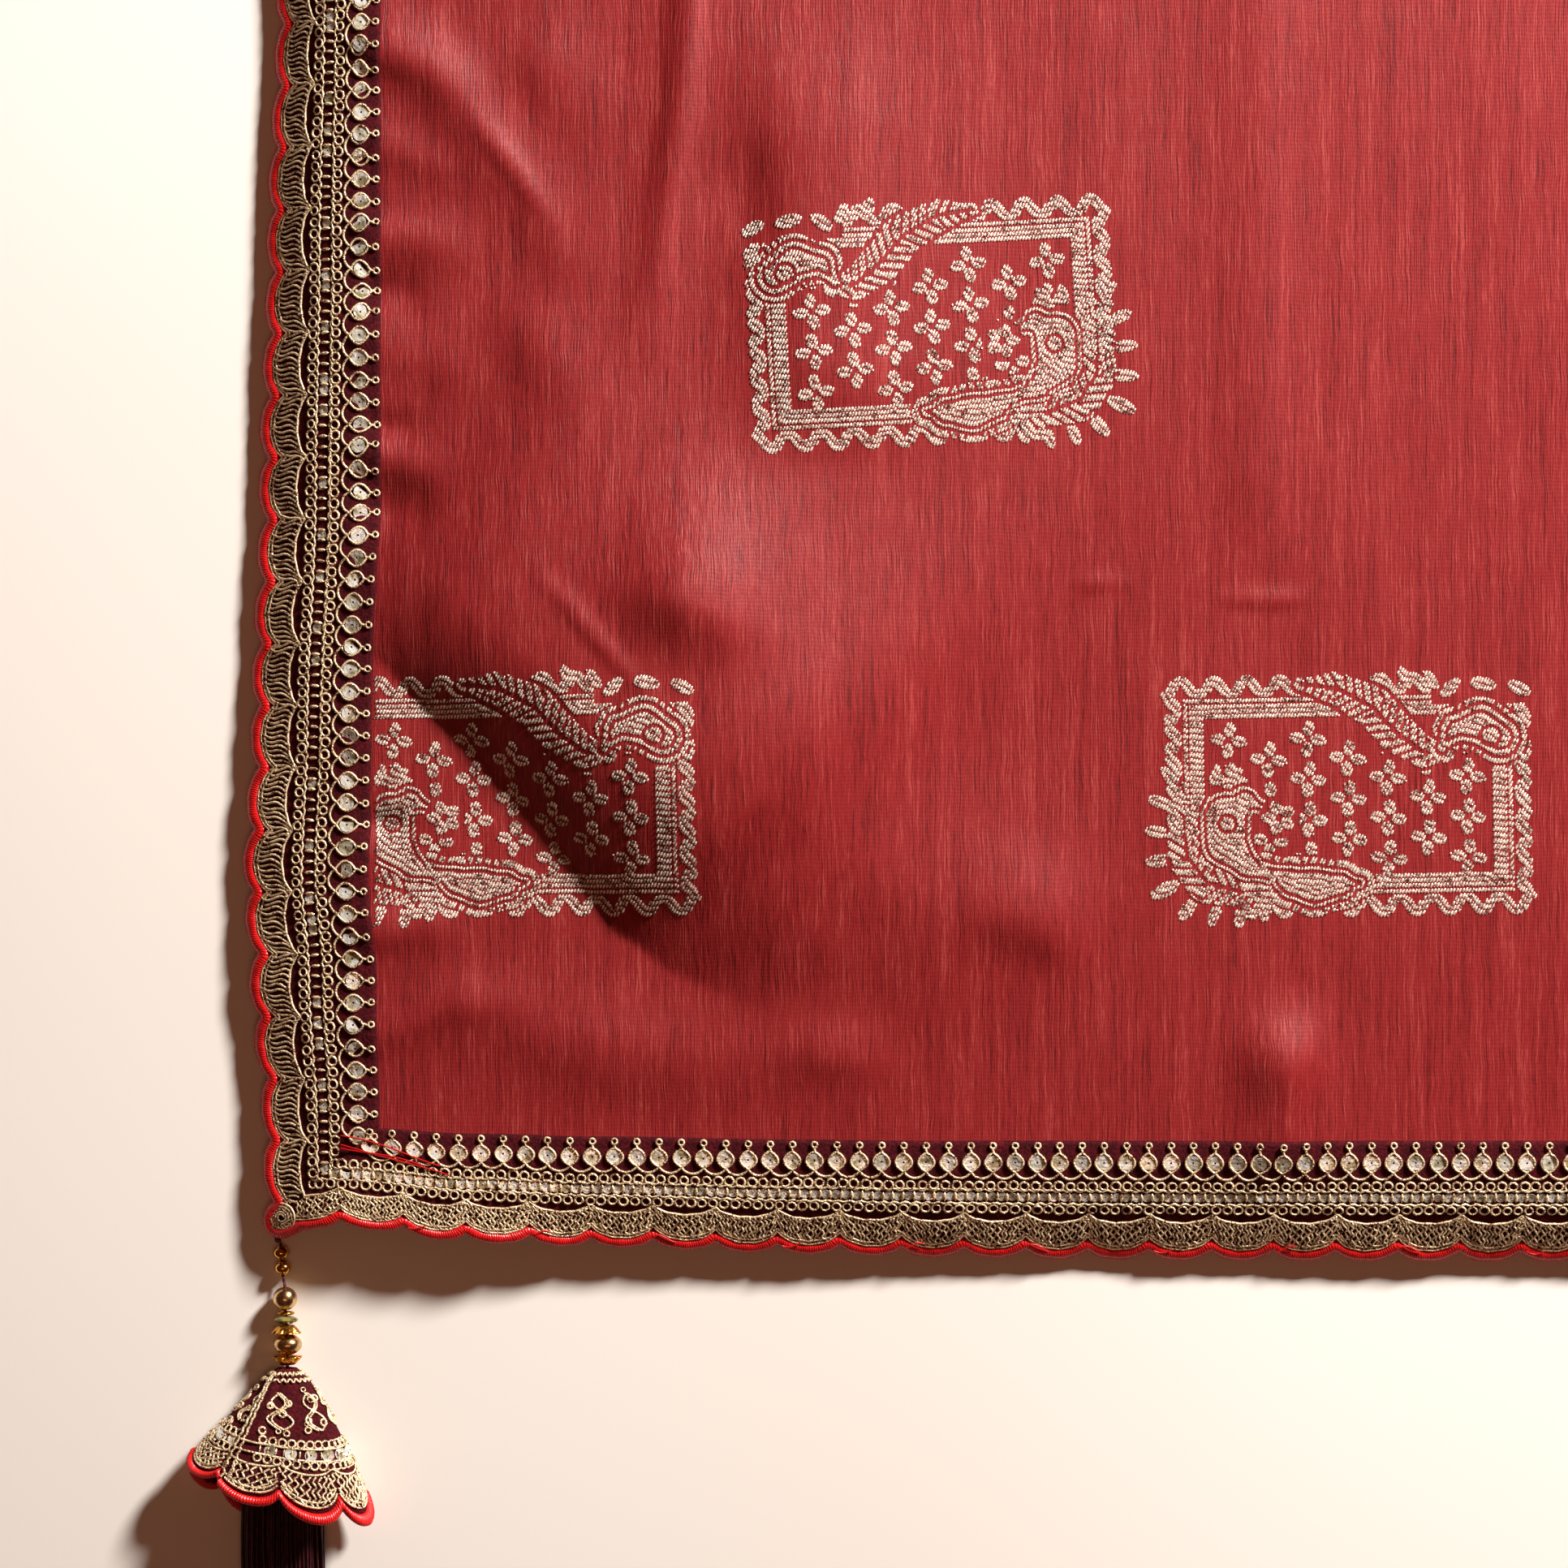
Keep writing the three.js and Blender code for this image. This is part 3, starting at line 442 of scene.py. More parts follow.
def on_skirt(share, turn, above):
    """Points of the lace skirt of the latkan: neck to mouth, and turns round it."""
    share, turn = np.asarray(share, float), np.asarray(turn, float)
    rows = np.clip(np.searchsorted(SKIRT[:, 0], share) - 1, 0, len(SKIRT) - 2)
    f = ((share - SKIRT[rows, 0]) / (SKIRT[rows + 1, 0] - SKIRT[rows, 0]))[..., None]
    at = SKIRT[rows, 1:] * (1 - f) + SKIRT[rows + 1, 1:] * f
    angle = turn * 2 * math.pi
    wide, high = at[..., 3] + above, at[..., 4] + above
    out = np.cos(angle) * wide
    # the lace bulges over the front of the mouth and hangs lower at its back on the left
    over, under = np.clip(np.sin(angle), 0, 1), np.clip(-np.sin(angle), 0, 1)
    fall = SKIRT_LEAN * out + 2.0 + 6.0 * over + under * (11.0 - 5.0 * np.cos(angle))
    return np.stack([at[..., 0] + out, at[..., 1] - share ** 1.25 * fall,
                     np.maximum(at[..., 2] + np.sin(angle) * high, 0.9)], -1) * MM


# ---------------------------------------------------------------- making meshes

def finish(name, mesh, node, materials, smooth_faces=True):
    """An object from a mesh, riding on the root, standing for its CAD node."""
    piece = bpy.data.objects.new(name, mesh)
    bpy.context.scene.collection.objects.link(piece)
    mesh.materials.clear()
    for material in materials:
        mesh.materials.append(material)
    mesh.polygons.foreach_set("use_smooth", [smooth_faces] * len(mesh.polygons))
    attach(piece, "root")
    if node:
        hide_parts(*([node] if isinstance(node, str) else node))
    return piece


def grid_mesh(name, across, along, place, closed=False, uv=None):
    """A mesh from a grid whose points are laid by a function of two shares from 0 to 1."""
    bm = bmesh.new()
    bmesh.ops.create_grid(bm, x_segments=across, y_segments=along, size=0.5)
    mesh = bpy.data.meshes.new(name)
    bm.to_mesh(mesh)
    bm.free()
    flat = np.empty(len(mesh.vertices) * 3)
    mesh.vertices.foreach_get("co", flat)
    shares = flat.reshape(-1, 3)[:, :2] + 0.5
    mesh.vertices.foreach_set("co", place(shares[:, 0], shares[:, 1]).ravel())
    if uv:
        layer = mesh.uv_layers.new(name="weave")
        corners = np.empty(len(mesh.loops), int)
        mesh.loops.foreach_get("vertex_index", corners)
        a, b = uv(shares[corners, 0], shares[corners, 1])
        layer.data.foreach_set("uv", np.stack([a, b], -1).ravel())
    if closed:
        bm = bmesh.new()
        bm.from_mesh(mesh)
        bmesh.ops.remove_doubles(bm, verts=bm.verts, dist=1e-6)
        bmesh.ops.recalc_face_normals(bm, faces=bm.faces)
        bm.to_mesh(mesh)
        bm.free()
    mesh.update()
    return mesh


def wall(piece, thickness):
    """Gives a sheet its thickness, inwards from its outer face."""
    modifier = piece.modifiers.new("wall", "SOLIDIFY")
    modifier.thickness, modifier.offset = thickness, -1.0
    modifier.use_even_offset = False


def threads(name, paths, radius, sides=0, cyclic=False, radii=None):
    """A mesh of round threads along rows of points, each an open or closed line."""
    curve = bpy.data.curves.new(name, "CURVE")
    curve.dimensions = "3D"
    curve.bevel_depth = radius
    curve.bevel_resolution = sides
    curve.use_fill_caps = not cyclic
    for k, path in enumerate(paths):
        spline = curve.splines.new("POLY")
        spline.points.add(len(path) - 1)
        weights = np.ones((len(path), 1))
        spline.points.foreach_set("co", np.hstack([path, weights]).ravel())
        spline.use_cyclic_u = cyclic
        if radii is not None:
            spline.points.foreach_set("radius", radii[k])
    piece = bpy.data.objects.new(name, curve)
    bpy.context.scene.collection.objects.link(piece)
    mesh = bpy.data.meshes.new_from_object(piece.evaluated_get(
        bpy.context.evaluated_depsgraph_get()))
    bpy.data.objects.remove(piece)
    bpy.data.curves.remove(curve)
    return mesh


def template(build):
    """Vertices and faces of one small shape made by bmesh operators, for laying many times."""
    bm = bmesh.new()
    build(bm)
    bm.verts.index_update()
    points = np.array([v.co[:] for v in bm.verts])
    faces = [[v.index for v in f.verts] for f in bm.faces]
    bm.free()
    return points, faces


def laid(name, shape, places):
    """Copies of a small shape, each at its centre with its three axes."""
    points, faces = shape
    centres, axes = places
    everything = centres[:, None, :] + np.einsum("pk,nkj->npj", points, axes)
    count = len(centres)
    mesh = bpy.data.meshes.new(name)
    sizes = [len(f) for f in faces]
    mesh.vertices.add(count * len(points))
    mesh.vertices.foreach_set("co", everything.ravel())
    mesh.loops.add(count * sum(sizes))
    corner = np.concatenate([np.array(f) for f in faces])
    corners = (np.arange(count)[:, None] * len(points) + corner[None, :]).ravel()
    mesh.loops.foreach_set("vertex_index", corners)
    mesh.polygons.add(count * len(faces))
    starts = np.concatenate([[0], np.cumsum(sizes)[:-1]])
    mesh.polygons.foreach_set(
        "loop_start", (np.arange(count)[:, None] * sum(sizes) + starts[None, :]).ravel())
    mesh.update(calc_edges=True)
    mesh.validate()
    return mesh


def joined(name, meshes):
    """One mesh from several, which are then removed."""
    bm = bmesh.new()
    for mesh in meshes:
        bm.from_mesh(mesh)
        bpy.data.meshes.remove(mesh)
    mesh = bpy.data.meshes.new(name)
    bm.to_mesh(mesh)
    bm.free()
    return mesh


def frames_on(surface, a, b, above, turn=None, tilt=None, size=1.0, step=0.2):
    """Centres and axes for small shapes lying on a surface of two coordinates."""
    a, b = np.asarray(a, float), np.asarray(b, float)
    centre = surface(a, b, np.full(a.shape, above))
    along = surface(a + step, b, np.full(a.shape, above)) - centre
    out = surface(a, b + step, np.full(a.shape, above)) - centre
    along /= np.linalg.norm(along, axis=-1, keepdims=True)
    up = np.cross(along, out)
    up /= np.linalg.norm(up, axis=-1, keepdims=True)
    up *= np.where(up[:, 2:3] < 0, -1.0, 1.0)
    if turn is not None:
        c, s = np.cos(turn)[:, None], np.sin(turn)[:, None]
        along = along * c + np.cross(up, along) * s
    if tilt is not None:
        up = up + tilt
        up /= np.linalg.norm(up, axis=-1, keepdims=True)
        along -= up * np.sum(along * up, -1, keepdims=True)
        along /= np.linalg.norm(along, axis=-1, keepdims=True)
    side = np.cross(up, along)
    size = np.broadcast_to(np.asarray(size, float), a.shape)[:, None, None]
    return centre, np.stack([along, side, up], 1) * size


# ---------------------------------------------------------------- materials

def linear(code):
    """An sRGB hex colour as linear red, green, blue and one."""
    parts = [int(code[i:i + 2], 16) / 255 for i in (0, 2, 4)]
    return [p / 12.92 if p <= 0.04045 else ((p + 0.055) / 1.055) ** 2.4 for p in parts] + [1.0]


def node(tree, kind, inputs=None, **settings):
    """Adds a node with its settings; an input is a value or another node's socket."""
    made = tree.nodes.new(kind)
    for key, value in settings.items():
        setattr(made, key, value)
    for key, value in (inputs or {}).items():
        if isinstance(value, bpy.types.NodeSocket):
            tree.links.new(value, made.inputs[key])
        else:
            made.inputs[key].default_value = value
    return made


def new_material(name, inputs):
    """A material with a Principled shader; its constants are set on its own sockets."""
    material = bpy.data.materials.new(name)
    material.use_nodes = True
    tree = material.node_tree
    shader = tree.nodes["Principled BSDF"]
    for key, value in inputs.items():
        shader.inputs[key].default_value = value
    return material, tree, shader


def ramp(tree, factor, stops):
    """A colour ramp over a factor, from stops of place and colour."""
    made = node(tree, "ShaderNodeValToRGB", {"Fac": factor})
    band = made.color_ramp
    while len(band.elements) < len(stops):
        band.elements.new(0.5)
    for element, (place, colour) in zip(band.elements, stops):
        element.position, element.color = place, colour
    return made.outputs["Color"]


def slub_silk(name):
    """Slub silk: thin red silk with thick and thin warp threads, so fine paler streaks run
    along it; a soft sheen that pales where it catches the light."""
    deep, mid, light = map(linear, SILK)
    material, tree, shader = new_material(name, {
        "Roughness": 0.52, "Sheen Weight": 0.06, "Sheen Roughness": 0.42,
        "Sheen Tint": linear("f0a8a0"), "Specular IOR Level": 0.32})
    still = node(tree, "ShaderNodeTexCoord").outputs["Object"]
    # the threads wander by about half a millimetre every 10 mm, as crepe yarn does
    wander = node(tree, "ShaderNodeTexNoise", {"Vector": still, "Scale": 100.0, "Detail": 1.0})
    shift = node(tree, "ShaderNodeVectorMath", {
        0: wander.outputs["Color"], 1: (0.0013, 0.0, 0.0)}, operation="MULTIPLY")
    place = node(tree, "ShaderNodeVectorMath", {
        0: still, 1: shift.outputs[0]}, operation="ADD").outputs[0]
    # slubs 0.4 mm across and 20 mm long, finer threads, and bands of thicker yarn 5 mm wide
    slub = node(tree, "ShaderNodeMapping", {"Vector": place, "Scale": (2400, 48, 300)})
    thread = node(tree, "ShaderNodeMapping", {"Vector": place, "Scale": (3000, 240, 400)})
    broad = node(tree, "ShaderNodeMapping", {"Vector": place, "Scale": (190, 11, 60)})
    slubs = node(tree, "ShaderNodeTexNoise", {
        "Vector": slub.outputs[0], "Scale": 1.0, "Detail": 1.0, "Roughness": 0.5})
    fine = node(tree, "ShaderNodeTexNoise", {
        "Vector": thread.outputs[0], "Scale": 1.0, "Detail": 2.0, "Roughness": 0.6})
    wide = node(tree, "ShaderNodeTexNoise", {
        "Vector": broad.outputs[0], "Scale": 1.0, "Detail": 1.0, "Roughness": 0.5})
    streaks = node(tree, "ShaderNodeMix", {
        0: 0.42, 2: slubs.outputs["Fac"], 3: fine.outputs["Fac"]}, data_type="FLOAT")
    share = node(tree, "ShaderNodeMix", {
        0: 0.2, 2: streaks.outputs[0], 3: wide.outputs["Fac"]}, data_type="FLOAT")
    colour = ramp(tree, share.outputs[0], [
        (0.37, deep), (0.48, mid), (0.54, mid), (0.66, light)])
    tree.links.new(colour, shader.inputs["Base Color"])
    # weft threads 0.6 mm apart give the cloth its tooth
    weft = node(tree, "ShaderNodeTexWave", {
        "Vector": place, "Scale": 260.0, "Distortion": 5.0, "Detail": 2.0,
        "Detail Scale": 0.6}, wave_type="BANDS", bands_direction="Y")
    relief = node(tree, "ShaderNodeMath", {
        0: streaks.outputs[0], 1: 1.8, 2: 0.0}, operation="MULTIPLY_ADD")
    tooth = node(tree, "ShaderNodeMath", {
        0: weft.outputs["Fac"], 1: 0.07, 2: relief.outputs[0]}, operation="MULTIPLY_ADD")
    bump = node(tree, "ShaderNodeBump", {
        "Height": tooth.outputs[0], "Strength": 0.5, "Distance": 0.0004})
    tree.links.new(bump.outputs[0], shader.inputs["Normal"])
    return material


def zari(name, dark, light, metallic, roughness, pitch):
    """Zari: gilt wire wound on a core thread. Its colour follows the bumps of the winding: a painted
    highlight of pale gold on each crown and painted shade of brown between the windings."""
    material, tree, shader = new_material(name, {
        "Metallic": metallic, "Roughness": roughness})
    place = node(tree, "ShaderNodeTexCoord").outputs["Object"]
    patch = node(tree, "ShaderNodeTexNoise", {
        "Vector": place, "Scale": 420.0, "Detail": 2.0, "Roughness": 0.6})
    wound = node(tree, "ShaderNodeTexNoise", {
        "Vector": place, "Scale": 1.0 / pitch, "Detail": 1.0, "Roughness": 0.5})
    # the colour follows the winding as its bump does: pale gold on the raised turns is a painted
    # highlight, brown in the dips is painted shade; the patches add the gilt's own uneven tone
    share = node(tree, "ShaderNodeMix", {
        0: 0.5, 2: patch.outputs["Fac"], 3: wound.outputs["Fac"]}, data_type="FLOAT")
    colour = ramp(tree, share.outputs[0], [(0.38, linear(dark)), (0.51, linear(light))])
    tree.links.new(colour, shader.inputs["Base Color"])
    bump = node(tree, "ShaderNodeBump", {
        "Height": wound.outputs["Fac"], "Strength": 0.9, "Distance": 0.0004})
    tree.links.new(bump.outputs[0], shader.inputs["Normal"])
    return material


def satin_roll():
    """Satin stitch in red rayon over a core: tight shining threads that cross the roll, with a
    painted highlight on each stitch and painted shade between the stitches.
    """
    material, tree, shader = new_material("red rayon satin stitch, wound over a cord", {
        "Roughness": 0.34, "Sheen Weight": 0.25, "Sheen Roughness": 0.3,
        "Sheen Tint": linear("ff6050"), "Specular IOR Level": 0.5})
    weave = node(tree, "ShaderNodeUVMap", uv_map="weave")
    # stitches 0.7 mm apart across the roll
    stitch = node(tree, "ShaderNodeTexWave", {
        "Vector": weave.outputs[0], "Scale": 0.45, "Distortion": 4.0, "Detail": 2.0,
        "Detail Scale": 1.2}, wave_type="BANDS", bands_direction="X")
    shade = node(tree, "ShaderNodeTexNoise", {
        "Vector": weave.outputs[0], "Scale": 0.9, "Detail": 2.0})
    # the colour follows the stitches as their bump does: brighter red on each stitch is a painted
    # highlight, deeper red between them is painted shade; the noise adds uneven tone
    share = node(tree, "ShaderNodeMix", {
        0: 0.6, 2: stitch.outputs["Fac"], 3: shade.outputs["Fac"]}, data_type="FLOAT")
    colour = ramp(tree, share.outputs[0], [
        (0.10, linear("a80a0e")), (0.45, linear("d20e15")), (0.85, linear("f02823"))])
    tree.links.new(colour, shader.inputs["Base Color"])
    bump = node(tree, "ShaderNodeBump", {
        "Height": stitch.outputs["Fac"], "Strength": 0.4, "Distance": 0.0003})
    tree.links.new(bump.outputs[0], shader.inputs["Normal"])
    return material


def velvet_ground():
    """Maroon velvet net: short dark pile on a fine mesh, nearly black where it turns away, with
    painted shade in the dimples of the mesh.
    """
    material, tree, shader = new_material("maroon velvet net, napped", {
        "Roughness": 0.88, "Sheen Weight": 0.15, "Sheen Roughness": 0.5,
        "Sheen Tint": linear("8a2a34"), "Specular IOR Level": 0.15})
    place = node(tree, "ShaderNodeTexCoord").outputs["Object"]
    cells = node(tree, "ShaderNodeTexVoronoi", {"Vector": place, "Scale": 1150.0})
    patch = node(tree, "ShaderNodeTexNoise", {
        "Vector": place, "Scale": 260.0, "Detail": 3.0, "Roughness": 0.6})
    # the colour follows the cells of the net as their bump does: darkest in the dimples at their
    # middles, which is painted shade, lighter on the raised rims; the patches add uneven tone
    share = node(tree, "ShaderNodeMix", {
        0: 0.55, 2: cells.outputs["Distance"], 3: patch.outputs["Fac"]}, data_type="FLOAT")
    colour = ramp(tree, share.outputs[0], [
        (0.25, linear("220306")), (0.50, linear("42070f")), (0.80, linear("620f19"))])
    tree.links.new(colour, shader.inputs["Base Color"])
    bump = node(tree, "ShaderNodeBump", {
        "Height": cells.outputs["Distance"], "Strength": 0.5, "Distance": 0.0003})
    tree.links.new(bump.outputs[0], shader.inputs["Normal"])
    return material


def foil_sequin():
    """Pressed silver foil with faint scratches from the punch: bright partly from its mirror glints
    and partly from a painted reflection, a near-white diffuse colour that stays pale at every angle.
    """
    # only partly metallic, so the near-white colour shows as diffuse: a painted reflection that keeps
    # the foil pale where it mirrors nothing bright
    material, tree, shader = new_material("silver foil sequin, pressed", {
        "Metallic": 0.42, "Roughness": 0.16})
    place = node(tree, "ShaderNodeTexCoord").outputs["Object"]
    patch = node(tree, "ShaderNodeTexNoise", {"Vector": place, "Scale": 300.0, "Detail": 2.0})
    colour = ramp(tree, patch.outputs["Fac"], [
        (0.35, linear("a89c78")), (0.45, linear("e6dfc4")), (0.55, linear("fffdf6"))])
    tree.links.new(colour, shader.inputs["Base Color"])
    dents = node(tree, "ShaderNodeTexNoise", {"Vector": place, "Scale": 800.0, "Detail": 1.0})
    bump = node(tree, "ShaderNodeBump", {
        "Height": dents.outputs["Fac"], "Strength": 0.9, "Distance": 0.0004})
    tree.links.new(bump.outputs[0], shader.inputs["Normal"])
    return material


def bead_metal(name, dark, light, roughness, grain, depth):
    """Gilt brass, turned and tumbled: warm gold with a finely hammered skin."""
    material, tree, shader = new_material(name, {"Metallic": 1.0, "Roughness": roughness})
    place = node(tree, "ShaderNodeTexCoord").outputs["Object"]
    pits = node(tree, "ShaderNodeTexVoronoi", {"Vector": place, "Scale": 1.0 / grain})
    wear = node(tree, "ShaderNodeTexNoise", {"Vector": place, "Scale": 500.0, "Detail": 3.0})
    colour = ramp(tree, wear.outputs["Fac"], [(0.35, linear(dark)), (0.62, linear(light))])
    tree.links.new(colour, shader.inputs["Base Color"])
    bump = node(tree, "ShaderNodeBump", {
        "Height": pits.outputs["Distance"], "Strength": depth, "Distance": 0.0002})
    tree.links.new(bump.outputs[0], shader.inputs["Normal"])
    return material


def smoked_glass():
    """Cut glass rondelle: greenish gold, clear, with sharp glints on its facets."""
    material, tree, shader = new_material("smoked glass, cut", {
        "Roughness": 0.06, "Metallic": 0.25, "IOR": 1.52, "Coat Weight": 0.6,
        "Coat Roughness": 0.05})
    place = node(tree, "ShaderNodeTexCoord").outputs["Object"]
    streak = node(tree, "ShaderNodeTexNoise", {"Vector": place, "Scale": 380.0, "Detail": 1.0})
    colour = ramp(tree, streak.outputs["Fac"], [
        (0.35, linear("4e4418")), (0.65, linear("a89a58"))])
    tree.links.new(colour, shader.inputs["Base Color"])
    return material


def tassel_yarn(name, dark, light):
    """Twisted rayon yarn, dyed almost black maroon, with a thin shine along each thread."""
    material, tree, shader = new_material(name, {
        "Roughness": 0.5, "Sheen Weight": 0.2, "Sheen Roughness": 0.4,
        "Sheen Tint": linear("a04048"), "Specular IOR Level": 0.35})
    place = node(tree, "ShaderNodeTexCoord").outputs["Object"]
    ply = node(tree, "ShaderNodeMapping", {"Vector": place, "Scale": (1600, 300, 1600)})
    twist = node(tree, "ShaderNodeTexNoise", {
        "Vector": ply.outputs[0], "Scale": 1.0, "Detail": 2.0, "Roughness": 0.6})
    colour = ramp(tree, twist.outputs["Fac"], [(0.4, linear(dark)), (0.66, linear(light))])
    tree.links.new(colour, shader.inputs["Base Color"])
    bump = node(tree, "ShaderNodeBump", {
        "Height": twist.outputs["Fac"], "Strength": 0.5, "Distance": 0.0003})
    tree.links.new(bump.outputs[0], shader.inputs["Normal"])
    return material


def studio_paper():
    """Cream background paper, matt."""
    material, tree, shader = new_material("cream background paper, matt", {"Roughness": 0.95,
                                          "Specular IOR Level": 0.1})
    place = node(tree, "ShaderNodeTexCoord").outputs["Object"]
    tone = node(tree, "ShaderNodeTexNoise", {"Vector": place, "Scale": 3.0, "Detail": 1.0})
    colour = ramp(tree, tone.outputs["Fac"], [
        (0.3, linear("f7f0e8")), (0.7, linear("fcf7f0"))])
    tree.links.new(colour, shader.inputs["Base Color"])
    return material


# ---------------------------------------------------------------- pieces

def spaced(stretches, share):
    """Places from a share of the grid, whose lines lie closer where a stretch asks for it.
    A stretch is where it begins, the number of the line it ends on, and where it ends."""
    knots = np.array([0.0] + [s[1] for s in stretches])
    places = np.array([stretches[0][0]] + [s[2] for s in stretches])
    return np.interp(share, knots / knots[-1], places)


class SAREE_OT_pallu_cloth(bpy.types.Operator):
    """Lay the top layer of silk over the folded layers, with its ridge and creases"""
    bl_idname = "saree.pallu_cloth"
    bl_label = "Pallu cloth"

    def execute(self, context):
        settings = context.scene.saree_cloth
        columns, rows = 206, 224
        # the edges are eased to the seams of the lace from these lines on
        ease_left, ease_front = -180.0, -170.0

        def place(a, b):
            u = spaced([(CLOTH_LEFT, 108, -80), (-80, 160, 60), (60, columns, CLOTH_RIGHT)], a)
            v = spaced([(CLOTH_FRONT, 112, -88), (-88, 170, 84), (84, rows, CLOTH_BACK)], b)
            front = line_value(END_LINES, u, 1) - SEAM_LAP
            left = line_value(SIDE_LINES, v, 1) - SEAM_LAP
            v = v + (front - CLOTH_FRONT) * np.clip(
                (ease_front - v) / (ease_front - CLOTH_FRONT), 0, 1)
            u = u + (left - CLOTH_LEFT) * np.clip(
                (ease_left - u) / (ease_left - CLOTH_LEFT), 0, 1)
            return on_sheet(u, v, np.full(u.shape, CLOTH_TOP))

        mesh = grid_mesh("pallu_cloth_silk", columns, rows, place)
        piece = finish("pallu_cloth_silk", mesh, "pallu_cloth",
                       [slub_silk("red slub silk, plain woven")])
        wall(piece, settings.wall)
        return {"FINISHED"}


class SAREE_OT_folded_layers(bpy.types.Operator):
    """Stack the hidden plies of the folded saree, rounded at every fold"""
    bl_idname = "saree.folded_layers"
    bl_label = "Folded layers"

    def execute(self, context):
        right, back = FOLD_X + FOLD_RADIUS - 0.6, FOLD_Y + FOLD_RADIUS - 0.6
        ply = PACK_TOP / PLIES
        section = []
        for k in range(PLIES):
            shift = 0.9 + 0.9 * math.sin(k * 2.1)
            over = max(0.0, (k + 1) * ply - (PACK_TOP + REST - FOLD_RADIUS))
            arc = FOLD_RADIUS - math.sqrt(max(0.0, FOLD_RADIUS ** 2 - over ** 2))
            for share, inset in ((0.02, 1.2), (0.18, 0.35), (0.5, 0.0), (0.82, 0.35), (0.98, 1.2)):
                section.append(((k + share) * ply, inset + shift + arc))
        heights, insets = np.array(section).T
        corner = 14.0

        def outline(turn, inset, z):
            """The rounded outline of the stack at a height, drawn in by its inset."""
            left, front = PACK_LEFT + inset, PACK_FRONT + inset
            width, depth = right - inset - left, back - inset - front
            cx, cy = left + width / 2, front + depth / 2
            angle = turn * 2 * math.pi
            c, s = np.cos(angle), np.sin(angle)
            reach = 1 / np.maximum(np.abs(c) / (width / 2), np.abs(s) / (depth / 2))
            x, y = c * reach, s * reach
            ox = np.maximum(np.abs(x) - (width / 2 - corner), 0)
            oy = np.maximum(np.abs(y) - (depth / 2 - corner), 0)
            away = np.hypot(ox, oy)
            pull = np.where(away > corner, corner / np.maximum(away, 1e-6), 1.0)
            x = np.sign(x) * (np.minimum(np.abs(x), width / 2 - corner) + ox * pull)
            y = np.sign(y) * (np.minimum(np.abs(y), depth / 2 - corner) + oy * pull)
            sway = 0.7 * soft_noise(angle * 40, z * 9, 9, 12, 31)
            return cx + x - c * np.abs(sway), cy + y - s * np.abs(sway)

        count = len(heights)

        def place(a, b):
            i = b * (count + 5)
            ring = np.clip(i - 3, 0, count - 1)
            inset = np.interp(ring, np.arange(count), insets)
            z = np.interp(ring, np.arange(count), heights)
            x, y = outline(a, inset, z)
            low = np.clip((3 - i) / 3, 0, 1)
            high = np.clip((i - 3 - (count - 1)) / 3, 0, 1)
            pull = np.where(low > 0, low, high) ** 0.7
            cx, cy = (PACK_LEFT + right) / 2, (PACK_FRONT + back) / 2
            z = np.where(low > 0, 0.0, np.where(high > 0, PACK_TOP - 0.05, z))
            return np.stack([x + (cx - x) * pull, y + (cy - y) * pull, z], -1) * MM

        mesh = grid_mesh("folded_plies", 240, count + 5, place, closed=True)
        finish("folded_plies", mesh, "folded_layers",
               [slub_silk("red slub silk, folded plies")])
        return {"FINISHED"}


class SAREE_OT_lace_ground(bpy.types.Operator):
    """Sew the maroon ground of the lace along the selvedge and the pallu end"""
    bl_idname = "saree.lace_ground"
    bl_label = "Lace ground"

    def execute(self, context):
        ground = velvet_ground()
        for key, (surface, length, start) in LACES.items():
            over = 0.5 if key == "end" else 0.0

            def place(a, b):
                along = a * length
                out = b * (GROUND_EDGE[0] - GROUND_EDGE[1] * inset_at(key, along))
                begin = mitre(out, start) - (0.6 if key == "end" else 0.0)
                along = begin + along * (length - begin) / length
                # the end lace comes down to the cloth within 40 mm of the corner
                down = over * np.clip((along - begin) / 40, 0, 1)
                return surface(along, out, LACE_TOP + over - down)

            mesh = grid_mesh(f"{key}_lace_ground", int(length / 1.6), 22, place)
            piece = finish(f"{key}_lace_ground", mesh, f"{key}_lace", [ground])
            if mesh.polygons[0].normal.z < 0:
                mesh.flip_normals()
            wall(piece, 0.0007)
        return {"FINISHED"}


def ring_shape(radius, wire):
    """A thread ring: a small circle spun round."""
    def build(bm):
        made = bmesh.ops.create_circle(bm, segments=4, radius=wire, matrix=Matrix.Translation(
            (radius, 0, 0)) @ Matrix.Rotation(math.pi / 2, 4, "X"))
        bmesh.ops.spin(bm, geom=made["verts"] + list(bm.edges), cent=(0, 0, 0),
                       axis=(0, 0, 1), angle=2 * math.pi, steps=9, use_merge=True)
        bmesh.ops.recalc_face_normals(bm, faces=bm.faces)
    return template(build)


def bar_shape(length, width, height):
    """A satin-stitched bar with a rounded back."""
    def build(bm):
        bmesh.ops.create_uvsphere(bm, u_segments=6, v_segments=4, radius=1.0)
        bmesh.ops.scale(bm, vec=(width / 2, length / 2, height), verts=bm.verts)
    return template(build)


